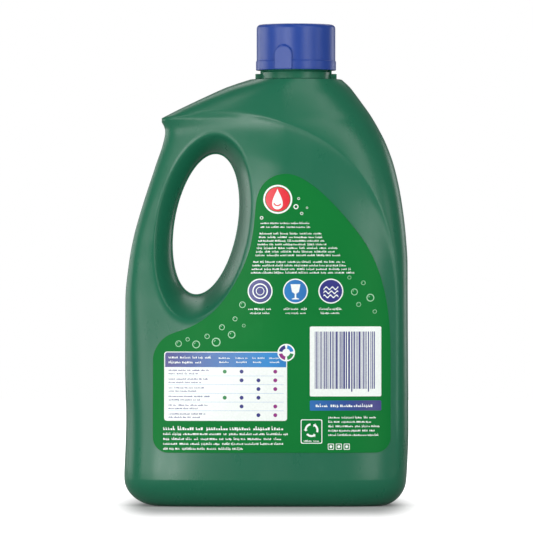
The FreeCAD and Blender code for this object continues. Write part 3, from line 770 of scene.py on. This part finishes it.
def thread(mesh, radius, root, crest_radius, crest, start_z, turns):
    """A screw thread as a ridge that fades in and out at its ends."""
    rows = []
    count = int(THREAD_STEPS * turns)
    for k in range(count + 1):
        a = 2 * math.pi * k / THREAD_STEPS
        z = start_z + THREAD_PITCH * k / THREAD_STEPS
        peak = radius + (crest_radius - radius) * float(smooth(min(k, count - k) / THREAD_FADE))
        shoulder = 0.25 * radius + 0.75 * peak
        half = [(radius, 0.5 * root), (shoulder, 0.62 * crest), (peak, 0.35 * crest)]
        profile = [(r, z - dz) for r, dz in half] + [(r, z + dz) for r, dz in half[::-1]]
        rows.append(turned(profile, a))
    mesh.grid(rows)


def soft_box(mesh, low, high, r):
    """A box with rounded edges."""
    low, high = np.array(low), np.array(high)
    steps = np.append(0, r * (1 - np.cos(np.linspace(0.35, math.pi / 2, 5))))
    for axis in range(3):
        u, v = (axis + 1) % 3, (axis + 2) % 3
        us, vs = (np.append(low[w] + steps, high[w] - steps[::-1]) for w in (u, v))
        for level, order in ((low[axis], -1), (high[axis], 1)):
            p = np.zeros((len(us), len(vs), 3))
            p[..., u], p[..., v], p[..., axis] = us[:, None], vs, level
            core = np.clip(p, low + r, high - r)
            mesh.grid((core + r * unit(p - core))[::order])


# A ramp and a lock tooth stand on both sides of the neck's foot: near and far from its axis, half
# across, bottom and top over the shoulder, and rounding.
RAMP = (19.6, 24.4, 1.6, -1.8, 3.6, 0.45)
LOCK_TOOTH = (18.2, 21.4, 1.1, 1.2, 7.2, 0.35)


def add_lock(mesh):
    for side in (-1, 1):
        for near, far, half, bottom, top, rounding in (RAMP, LOCK_TOOTH):
            x0, x1 = sorted((NECK_X + side * near, NECK_X + side * far))
            soft_box(mesh, (x0, -half, SHOULDER + bottom), (x1, half, SHOULDER + top), rounding)


def bottle_mesh():
    """The blown form with its underside and neck, the thread, the ramps and the lock teeth."""
    mesh = Mesh()
    foot_loop, top_loop = add_form(mesh)
    for loop, rings_of, flip in ((foot_loop, base_rings, False), (top_loop, neck_rings, True)):
        end = rings_inward(mesh, loop, rings_of(loop_points(mesh, loop)), flip)
        mesh.faces.append(tuple(end))
    thread(mesh, WALL_R, 2.2, 18.65, 1.3, RIM - 18.35, 1.5)
    add_lock(mesh)
    return mesh


# ---- the label's film ----
def film_point(x, z, lift=0.0):
    """On the printed face of the film, or lifted off it."""
    return np.column_stack((x, -half_depth(x, z, panel_depth(z) - LABEL_OUT) - lift, z))


def label_outline():
    """Up the left flank, over the top, down the right flank and round the two lower corners."""
    flank = spline(LABEL_LEFT + LABEL_RIGHT, (0, 1), (0, -1), 1.6)
    right, left = LABEL_RIGHT[-1][0], LABEL_LEFT[0][0]
    foot, corner = LABEL_FOOT, LABEL_CORNER
    return np.vstack((flank, [(right, foot + corner)],
                      arc(right - corner, foot + corner, corner, 0, -90, 12),
                      arc(left + corner, foot + corner, corner, -90, -180, 12), flank[:1]))


def refined(loop, reach):
    """A closed loop with its long sides cut into shorter ones."""
    fine = []
    for a, b in zip(loop, np.roll(loop, -1, axis=0)):
        parts = max(int(math.dist(a, b) / reach), 1)
        fine.append(a + (b - a) * np.linspace(0, 1, parts, endpoint=False)[:, None])
    return np.vstack(fine)


def within(points, loops):
    """True inside the first loop and outside the others."""
    hit = inside(points, loops[0])
    for hole in loops[1:]:
        hit &= ~inside(points, hole)
    return hit


def filled(mesh, outline, place, step, holes=()):
    """Triangles inside a closed outline, laid on the label by place(x, z)."""
    loops = [refined(loop, 0.75 * step) for loop in (outline, *holes)]
    fixed = np.vstack(loops)
    low, high = fixed.min(0), fixed.max(0)
    xs, zs = (np.arange(low[k] + step / 2, high[k], step) for k in (0, 1))
    loose = np.array([(x, z) for x in xs for z in zs]).reshape(-1, 2)
    points = np.vstack((fixed, thin_out(loose[within(loose, loops)], fixed, 0.5 * step)))
    edges, start = [], 0
    for loop in loops:
        edges += closed_edges(start, len(loop))
        start += len(loop)
    mesh.add(place(*points.T), triangles(points, edges, lambda middles: within(middles, loops)))


FILM_EDGE_OUT = 0.06
FILM_EDGE_DROPS = (0.10, 0.45)


def film_mesh():
    """The film's face, with its thin edge turned down into the panel."""
    mesh = Mesh()
    outline = evenly(label_outline(), 1.5)[:-1]
    filled(mesh, outline, film_point, 2.6)
    way = unit(np.roll(outline, -1, 0) - np.roll(outline, 1, 0))
    moved = outline + FILM_EDGE_OUT * np.column_stack((-way[:, 1], way[:, 0]))
    rim = [film_point(*outline.T)] + [film_point(*moved.T, -drop) for drop in FILM_EDGE_DROPS]
    mesh.grid([np.vstack((row, row[:1])) for row in rim])
    return mesh


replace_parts(new_object("label_skin", film_mesh(), LABEL_FILM, "container"), "back_label")


# ---- the label's print: a sheet for each colour, thin shapes lifted off the film ----
rng = random.Random(11)
PRINT_LIFT = 0.035


class Print:
    """Everything printed in one colour, on the film's first layer or over others."""

    def __init__(self, layer):
        self.mesh, self.lift = Mesh(), layer * PRINT_LIFT

    def place(self, x, z):
        return film_point(x, z, self.lift)

    def bar(self, x0, z0, x1, z1):
        """A filled rectangle that follows the film."""
        across, up = int(abs(x1 - x0) / 1.6) + 1, int(abs(z1 - z0) / 4.0) + 1
        x = np.linspace(x0, x1, across + 1)
        self.mesh.grid([self.place(x, np.full(across + 1, z)) for z in np.linspace(z0, z1, up + 1)])

    def disc(self, x, z, r, r_in, count, start=0, end=360):
        """A disc, a ring or a stretch of one, with angles in degrees."""
        radii = np.linspace(r_in or 0.02 * r, r, 2 if r < 3 else 4)
        self.mesh.grid([self.place(*arc(x, z, at, start, end, count + 1).T) for at in radii[::-1]])

    def shape(self, outline, step, holes=()):
        filled(self.mesh, np.array(outline), self.place, step, holes)

    def plate(self, x0, z0, x1, z1, r, step=2.2):
        """A rectangle with round corners."""
        self.shape(plate_outline(x0, z0, x1, z1, r), step)

    def frame(self, x, z, half_x, half_z, width, r, r_in, step):
        """The border of such a rectangle."""
        outer, inner = (plate_outline(x - half_x + w, z - half_z + w, x + half_x - w, z + half_z - w, bend)
                        for w, bend in ((0.0, r), (width, r_in)))
        self.shape(outer, step, [inner])


def plate_outline(x0, z0, x1, z1, r):
    return np.vstack((arc(x1 - r, z1 - r, r, 90, 0, 7), arc(x1 - r, z0 + r, r, 0, -90, 7),
                      arc(x0 + r, z0 + r, r, -90, -180, 7), arc(x0 + r, z1 - r, r, 180, 90, 7)))


def drop_outline(x, z, r):
    """A drop with its point up."""
    t = np.linspace(0, 2 * math.pi, 40, endpoint=False)
    return np.column_stack((x + r * np.sin(t) * np.sin(t / 2) ** 1.6, z + 1.35 * r * np.cos(t)))[::-1]


def dashes(sheet, x0, x1, z, high, ragged=0.0):
    """A line of set matter: word-long dashes with broken upper edges, and no letters."""
    x = x0
    stop = x1 - ragged * rng.random() * (x1 - x0)
    step = 0.62 * high
    while x < stop - 0.8 * high:
        long = min(rng.uniform(1.4, 6.0) * high, stop - x)
        at = x
        while at < x + long - 0.3 * step:
            low = z + (0.0 if rng.random() < 0.85 else -0.25 * high)
            up = z + high * rng.choice((0.7, 0.7, 0.7, 1.0))
            wide = step * rng.choice((0.62, 0.76, 0.86))
            if rng.random() < 0.5:
                sheet.bar(at, low, at + 0.42 * wide, up)
                sheet.bar(at, z, at + wide, z + 0.34 * high)
            else:
                sheet.bar(at, z, at + wide, z + 0.7 * high * rng.choice((0.6, 1.0)))
            at += step
        x += long + 0.75 * high


SHEETS = (
    # piece, ink, layer
    ("print_white", "white", 1), ("print_white_over", "white", 3), ("print_red", "red", 1),
    ("print_red_over", "red", 4), ("print_navy", "navy", 2), ("print_blue", "blue", 2),
    ("print_violet", "violet", 2), ("print_green", "green", 2), ("print_pale", "pale", 1),
    ("dial_navy", "navy", 4), ("dial_violet", "violet", 4), ("dial_blue", "blue", 4),
    ("dial_green", "green", 4), ("print_header", "header", 2))
sheets = {name: Print(layer) for name, _, layer in SHEETS}
(white, white_over, red, red_over, navy, blue, violet, green, pale,
 dial_navy, dial_violet, dial_blue, dial_green, header) = sheets.values()


def badge(x, z):
    """A round badge with a drop and its glint, and small rings beside it."""
    white.disc(x, z, 8.6, 7.6, 56)
    red.disc(x, z, 7.2, 0.0, 56)
    white_over.shape(drop_outline(x - 0.2, z + 0.2, 4.6), 1.4)
    red_over.disc(x - 0.2, z - 1.5, 2.6, 1.9, 26, 200, 330)
    for dx, dz, r in ((10.8, -4.4, 1.5), (14.2, -8.4, 0.9), (12.4, 0.4, 0.8), (-9.6, -11.0, 1.0),
                      (17.4, -5.0, 0.6)):
        white.disc(x + dx, z + dz, r, 0.62 * r, 20)


def paragraphs():
    """Three blocks of set matter that widen with the label's top."""
    for k in range(2):
        dashes(white, -3.2, 28.0, 168.4 - 2.3 * k, 1.2, ragged=0.1)
    for k in range(7):
        dashes(white, -3.8 - 0.4 * k, 36.0 + 1.7 * k, 162.2 - 2.15 * k, 1.3, ragged=0.14)
    for k in range(4):
        dashes(white, -7.5 - 0.5 * k, 54.0 + 0.8 * k, 145.4 - 2.15 * k, 1.3, ragged=0.12)


GLASS_HALF = [(2.9, 4.1), (2.0, -0.5), (0.45, -1.6), (0.45, -3.9), (2.1, -4.5), (2.1, -4.9)]


def pictograms(xs, z):
    """A plate, a glass and waves in three discs, each with two lines under it."""
    for x, sheet in zip(xs, (navy, header, navy)):
        white.disc(x, z, 7.4, 0.0, 48)
        sheet.disc(x, z, 6.7, 0.0, 48)
    white_over.disc(xs[0], z, 4.6, 3.9, 40)
    white_over.disc(xs[0], z, 2.5, 2.1, 32)
    glass = np.vstack((GLASS_HALF, np.array(GLASS_HALF)[::-1] * (-1, 1)))
    white_over.shape(glass + (xs[1], z), 1.5)
    for row in range(3):
        t = np.linspace(-4.4, 4.4, 27)
        crest = z + 1.7 - 2.4 * row + 0.75 * np.sin(t * 1.75 + row)
        upper = np.column_stack((xs[2] + t, crest + 0.42))
        white_over.shape(np.vstack((upper, upper[::-1] - (0, 0.84))), 1.5)
    for x in xs:
        dashes(white, x - 7.0, x + 7.0, z - 11.1, 1.5)
        dashes(white, x - 6.0, x + 6.0, z - 13.5, 1.2)


DOT_COLUMNS = ((-24.5, green, (0, 3)), (-14.5, navy, (0, 1, 3, 4)), (-4.5, navy, (1, 2, 3, 5)),
               (5.5, violet, (0, 1, 2, 4, 5)))


def chart(x0, z0, x1, z1, rows=6):
    """A white plate with a header, ruled rows of set matter and columns of dots."""
    white.plate(x0, z0, x1, z1, 1.6)
    head_z = z1 - 9.2
    head = plate_outline(x0 + 0.5, head_z, x1 - 0.5, z1 - 0.5, 1.3)
    head[:, 1] = np.where(head[:, 1] < head_z + 1.4, head_z, head[:, 1])
    header.shape(head, 2.0)
    pitch = (head_z - z0 - 0.8) / rows
    levels = [head_z - (k + 0.5) * pitch for k in range(rows)]
    for k, z in enumerate(levels):
        if k:
            blue.bar(x0 + 2.0, z + 0.5 * pitch - 0.06, x1 - 2.0, z + 0.5 * pitch + 0.06)
        dashes(navy, x0 + 2.6, x0 + 27.0 - 1.4 * (k % 3), z + 0.35, 1.05)
        dashes(navy, x0 + 2.6, x0 + 20.0 + 2.0 * (k % 2), z - 1.65, 1.05)
    for x, sheet, dotted in DOT_COLUMNS:
        for k in dotted:
            sheet.disc(x, levels[k], 1.15, 0.0, 22)
        dashes(white_over, x - 3.6, x + 3.4, head_z + 5.0, 1.15)
        dashes(white_over, x - 3.2, x + 3.0, head_z + 2.6, 1.15)
    dashes(white_over, x0 + 2.6, x0 + 28.0, head_z + 5.2, 1.5)
    dashes(white_over, x0 + 2.6, x0 + 22.0, head_z + 2.3, 1.5)


def dial(x, z):
    """A round dial in four colours, on the chart's corner."""
    white_over.disc(x, z, 5.2, 0.0, 44)
    for sheet, start in ((dial_navy, 100), (dial_violet, 190), (dial_blue, 10), (dial_green, 280)):
        sheet.disc(x, z, 4.4, 2.3, 14, start, start + 70)


def striped_code(x0, z0, x1, z1):
    """A striped code on a white panel, and a coloured plate with a line of set matter under it."""
    white.plate(x0, z0, x1, z1, 0.8)
    x = x0 + 3.0
    while x < x1 - 3.5:
        wide = rng.choice((0.35, 0.35, 0.7, 1.05))
        gap = rng.choice((0.35, 0.5, 0.7))
        low = z0 + (4.5 if rng.random() < 0.94 else 2.8)
        navy.bar(x, low, min(x + wide, x1 - 2.9), z1 - 3.0)
        x += wide + gap
    header.plate(x0, z0 - 8.4, x1, z0 - 2.4, 0.7, 2.0)
    dashes(white_over, x0 + 3.5, x1 - 3.5, z0 - 6.3, 2.0)


def small_matter():
    """Set matter along the foot, in two strengths, and a short block at the right."""
    for k, (wide, high) in enumerate(((74.0, 2.3), (76.0, 1.5), (71.0, 1.5), (75.0, 1.5), (48.0, 1.5))):
        dashes(white, -61.0, -61.0 + wide, 46.0 - 2.9 * k, high, ragged=0.05)
    for k in range(5):
        dashes(white, 37.0, 68.0 - 3.0 * (k % 2), 53.0 - 2.6 * k, 1.35, ragged=0.12)


def turning_mark(x, z):
    """Three arrows that chase each other, in a frame with a line at its foot."""
    white.frame(x, z, 6.4, 7.2, 0.5, 1.0, 0.8, 2.0)
    centre = np.array((x, z + 0.8))
    for start in (100, 220, 340):
        white.disc(*centre, 4.1, 2.9, 14, start, start + 78)
        root, tip = (np.array((math.cos(a), math.sin(a))) for a in np.radians((start + 76, start + 92)))
        white.shape([centre + 2.2 * root, centre + 3.5 * tip, centre + 4.8 * root], 1.5)
    dashes(white, x - 4.6, x + 4.6, z - 6.0, 1.1)


def care_marks(xs, z):
    """Small framed dots in a row."""
    for x in xs:
        white.frame(x, z, 1.8, 1.8, 0.4, 0.4, 0.3, 1.8)
        white.disc(x, z, 0.85, 0.0, 16)


BUBBLES = (
    (-52.0, 97.2, 1.9), (-46.6, 99.8, 1.2), (-41.5, 96.8, 2.3), (-35.0, 101.6, 1.5),
    (-29.6, 98.2, 2.6), (-26.2, 107.0, 1.7), (-20.4, 102.6, 2.2), (-18.4, 112.0, 1.4),
    (-13.2, 108.0, 1.0), (-14.0, 120.4, 1.9), (52.5, 128.0, 2.0), (57.8, 133.4, 1.3),
    (55.0, 120.6, 1.4), (62.0, 124.6, 2.3), (64.6, 116.4, 1.2), (49.5, 136.6, 1.1))


def bubbles():
    """Rings with a glint, rising along both flanks."""
    for x, z, r in BUBBLES:
        pale.disc(x, z, r, 0.78 * r, 30)
        pale.disc(x, z, 0.52 * r, 0.38 * r, 8, 110, 170)


badge(7.0, 183.0)
paragraphs()
pictograms((-3.5, 17.5, 38.5), 128.5)
chart(-60.5, 51.5, 12.5, 92.5)
dial(12.0, 92.0)
striped_code(26.0, 66.0, 68.5, 107.5)
small_matter()
turning_mark(27.0, 45.2)
care_marks((38.5, 43.2, 47.9), 36.2)
bubbles()

INKS = {name: ink("ink_" + name, linear(*colour)) for name, colour in (
    ("white", (236, 242, 238)), ("navy", (38, 40, 122)), ("blue", (30, 128, 198)),
    ("red", (222, 32, 48)), ("violet", (140, 28, 122)), ("green", (24, 128, 62)),
    ("pale", (150, 206, 164)))}
INKS["header"] = header_ink()
for name, colour, _ in SHEETS:
    new_object(name, sheets[name].mesh, INKS[colour], "container")


# ---- the cap ----
CAP_FOOT, CAP_TOP = heights("cap")
LINER_FOOT, LINER_TOP = heights("cap_liner")
CAP = dict(r=23.6, roll=2.4, flare=24.0, flare_top=CAP_FOOT + 5.7, ceiling=LINER_TOP + 0.05,
           skirt=22.0, sleeve=20.1, bore=18.9)
CAP_TURNS = 120

# The two squeeze pads: where they face, half their width, their height and how proud they are.
PAD_TURN = math.radians(-90 - 18.7)
PAD_HALF, PAD_HEIGHT, PAD_PROUD = 5.4, 14.4, 0.85
PAD_REACH = 0.32


def pad_share(angle, z):
    """1 on a squeeze pad, 0 off it, with a narrow rounded rim between."""
    across = abs(math.sin(angle - PAD_TURN)) * (CAP["r"] + PAD_PROUD)
    up = max(z - (CAP_FOOT + PAD_HEIGHT - PAD_HALF), 0.0)
    return float(smooth(0.5 - (math.hypot(across, up) - PAD_HALF) / 0.55))


def cap_outside():
    """Radius and height from the middle of the top down the wall and the flare."""
    r, roll, flare, shelf = (CAP[key] for key in ("r", "roll", "flare", "flare_top"))
    pitch = -0.45
    return [(0.02, CAP_TOP), (8.0, CAP_TOP - 0.02), (15.0, CAP_TOP - 0.1), (20.0, CAP_TOP - 0.25),
            *arc(r - roll, CAP_TOP - 0.3 - roll, roll, 86, 0, 9),
            *((r, z) for z in np.arange(CAP_TOP - 3.0, shelf + 0.3, pitch)),
            *arc(r + 0.25, shelf + 0.05, 0.25, 180, 250, 4), *arc(flare - 0.3, shelf - 0.55, 0.3, 60, 0, 4),
            *((flare, z) for z in np.arange(shelf - 1.0, CAP_FOOT + 0.5, pitch)),
            *arc(flare - 0.35, CAP_FOOT + 0.35, 0.35, 0, -90, 5)]


def cap_inside():
    """From the foot up the skirt, down the sleeve and up its bore to the middle."""
    ceiling, skirt, sleeve, bore = (CAP[key] for key in ("ceiling", "skirt", "sleeve", "bore"))
    return [(CAP["flare"] - 0.35, CAP_FOOT), (skirt + 0.3, CAP_FOOT),
            *arc(skirt + 0.3, CAP_FOOT + 0.3, 0.3, 270, 180, 4), (skirt, CAP_FOOT + 3.3),
            (skirt, ceiling - 0.75), *arc(skirt - 0.8, ceiling - 0.75, 0.8, 0, 90, 4),
            (sleeve + 0.6, ceiling), *arc(sleeve + 0.6, ceiling - 0.35, 0.4, 90, 180, 3),
            (sleeve, ceiling - 2.55), (sleeve, CAP_FOOT + 2.6),
            *arc(sleeve - 0.3, CAP_FOOT + 2.4, 0.3, 0, -90, 4),
            *arc(bore + 0.3, CAP_FOOT + 2.4, 0.3, 270, 180, 4), (bore, CAP_FOOT + 3.3),
            (bore, ceiling - 0.55), (bore - 0.3, ceiling - 0.05), (18.0, ceiling), (9.0, ceiling),
            (0.02, ceiling)]


def padded(radius, z, angle):
    """The wall's radius, or the flat face of a squeeze pad where there is one."""
    if radius <= CAP["r"] - 1.0 or z >= CAP_TOP - 4.0:
        return radius
    flat = (CAP["r"] + PAD_PROUD) / abs(math.cos(angle - PAD_TURN)) - 0.05
    tucked = 0.3 * (1 - float(smooth((z - CAP_FOOT) / 0.35)))
    return radius + pad_share(angle, z) * (flat - radius - tucked)


def cap_angles():
    """Angles all round, closest over the two pads."""
    near = [PAD_TURN + math.pi * k + a for k in range(2) for a in np.linspace(-PAD_REACH, PAD_REACH, 90)]
    far = [a for a in np.linspace(0, 2 * math.pi, 150, endpoint=False)
           if abs(math.sin(a - PAD_TURN)) > math.sin(PAD_REACH + 0.01)]
    return sorted(a % (2 * math.pi) for a in near + far)


def cap_mesh():
    mesh = Mesh()
    wall = cap_outside()
    rows = [turned([(padded(radius, z, a), z) for radius, z in wall], a) for a in cap_angles()]
    mesh.grid([*zip(*rows, rows[0])][::-1])
    mesh.lathe(cap_inside()[::-1], CAP_TURNS)
    thread(mesh, CAP["bore"], 1.8, 17.85, 1.2, CAP_FOOT + 3.9, 1.25)
    return mesh


def liner_mesh():
    """A foam disc with a rounded edge."""
    mesh = Mesh()
    middle = (LINER_FOOT + LINER_TOP) / 2
    half = [(0.02, 0.55), (17.6, 0.55), (18.1, 0.5), (18.36, 0.3), (18.4, 0.0)]
    mesh.lathe([(r, middle - dz) for r, dz in half] + [(r, middle + dz) for r, dz in half[-2::-1]], 96)
    return mesh


# ---- the pieces that stand for the CAD's bottle, cap and liner, and the gel's look ----
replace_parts(new_object("bottle_skin", bottle_mesh(), BOTTLE_HDPE, "container"), "bottle")
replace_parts(new_object("cap_skin", cap_mesh(), CAP_PP, "closure"), "cap")
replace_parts(new_object("liner_disc", liner_mesh(), LINER_FOAM, "lift"), "cap_liner")
gel_materials = frame["nodes"]["gel"].data.materials
gel_materials.clear()
gel_materials.append(gel_material())


# ---- floor, light and camera ----
SEEN_LIGHT, FELT_LIGHT = 1.0, 0.18
FLOOR_HALF = (2000.0, 2600.0)
# Half width and squeeze across of the painted shadow pool that the floor's glow leaves round the foot.
PAINTED_SHADOW_HALF, PAINTED_SHADOW_SQUEEZE = 0.062, 6.5


def studio_world():
    """White where it is seen, dim where it only lights the bottle."""
    world = bpy.data.worlds.new("studio")
    bpy.context.scene.world = world
    world.use_nodes = True
    world.node_tree.nodes.clear()
    nodes = Nodes(world.node_tree)
    felt, seen = (nodes.add("Background", {"Color": (1, 1, 1, 1), "Strength": strength}).outputs[0]
                  for strength in (FELT_LIGHT, SEEN_LIGHT))
    is_seen = nodes.add("LightPath", {}).outputs["Is Camera Ray"]
    nodes.add("OutputWorld", {0: nodes.add("MixShader", {0: is_seen, 1: felt, 2: seen}).outputs[0]})


def floor_material():
    """Matt grey, with a glow to the camera that grows to white away from the bottle and stays low by its
    foot, a painted shadow pool.
    """
    s = Shader("floor")
    beyond = s.vector_maths("SUBTRACT", s.vector_maths("ABSOLUTE", s.position), (PAINTED_SHADOW_HALF, 0.0, 0.0))
    squeezed = s.vector_maths("MULTIPLY", s.vector_maths("MAXIMUM", beyond), (PAINTED_SHADOW_SQUEEZE, 1.0, 1.0))
    reach = s.vector_maths("LENGTH", squeezed, output="Value")
    # Painted shadow: the glow is low close to the foot and rises away from it, over the lamps' real shadow.
    near = s.span(reach, 0.06, 0.21, 0.09, 0.85, "SMOOTHSTEP")
    far = s.span(reach, 0.18, 0.40, 0.0, 0.35, "SMOOTHSTEP")
    seen = s.add("LightPath", {}).outputs["Is Camera Ray"]
    s.surface(Base_Color=s.span(s.noise(30.0, 4.0), 0.3, 0.7, 0.46, 0.48), Roughness=0.9,
              Specular_IOR_Level=0.0, Emission_Color=(1, 1, 1, 1),
              Emission_Strength=s.maths("MULTIPLY", seen, s.maths("ADD", near, far)))
    return s.material


AIM = Vector((0.0, 0.0, 0.13))
LAMP_REACH = 1.4
LAMPS = (
    # name, degrees round from the front, degrees up, width and height in metres, power
    ("rim_left", -108, 8, 0.80, 0.64, 4.0),
    ("rim_left_far", -138, 8, 0.40, 0.60, 1.3),
    ("left_low", -25, 2, 0.68, 0.38, 7.8),
    ("left_side", -53, 6, 0.44, 0.50, 3.0),
    ("left_mid", -46, 26, 0.46, 0.40, 0.6),
    ("left_high", -70, 44, 0.50, 0.46, 2.4),
    ("rim_right", 134, 8, 0.50, 0.60, 1.6),
    ("right_strip", 40, 26, 0.46, 0.90, 3.8),
    ("right_low", 30, 3, 0.40, 0.42, 2.8),
    ("right_side", 68, 8, 0.40, 0.46, 1.2),
    ("front_high", 16, 44, 0.50, 0.46, 2.0),
    ("back_fill", 176, 50, 1.30, 0.70, 4.5),
)
CAMERA = dict(lens=371.5, sensor_width=36, clip_end=20)
CAMERA_PLACE = (0.0003, -3.3, 0.1431)


def placed(name, data, place, turn):
    obj = bpy.data.objects.new(name, data)
    bpy.context.scene.collection.objects.link(obj)
    obj.location, obj.rotation_euler = place, turn
    return obj


def soft_lamp(name, turn, rise, wide, high, power):
    """A soft box that faces the bottle's middle."""
    light = bpy.data.lights.new(name, "AREA")
    light.shape, light.size, light.size_y, light.energy = "RECTANGLE", wide, high, power
    turn, rise = math.radians(turn), math.radians(rise)
    away = Vector((math.sin(turn) * math.cos(rise), -math.cos(turn) * math.cos(rise), math.sin(rise)))
    placed(name, light, AIM + LAMP_REACH * away, (-away).to_track_quat("-Z", "Y").to_euler())


floor = Mesh()
floor.grid([[(x, y, 0.0) for x in (-FLOOR_HALF[0], FLOOR_HALF[0])] for y in (-FLOOR_HALF[1], FLOOR_HALF[1])])
new_object("floor", floor, floor_material())
studio_world()
for lamp in LAMPS:
    soft_lamp(*lamp)

camera = bpy.data.cameras.new("camera")
for setting, value in CAMERA.items():
    setattr(camera, setting, value)
bpy.context.scene.camera = placed("camera", camera, CAMERA_PLACE, (math.radians(90), 0, 0))
bpy.context.scene.view_settings.view_transform = "Standard"
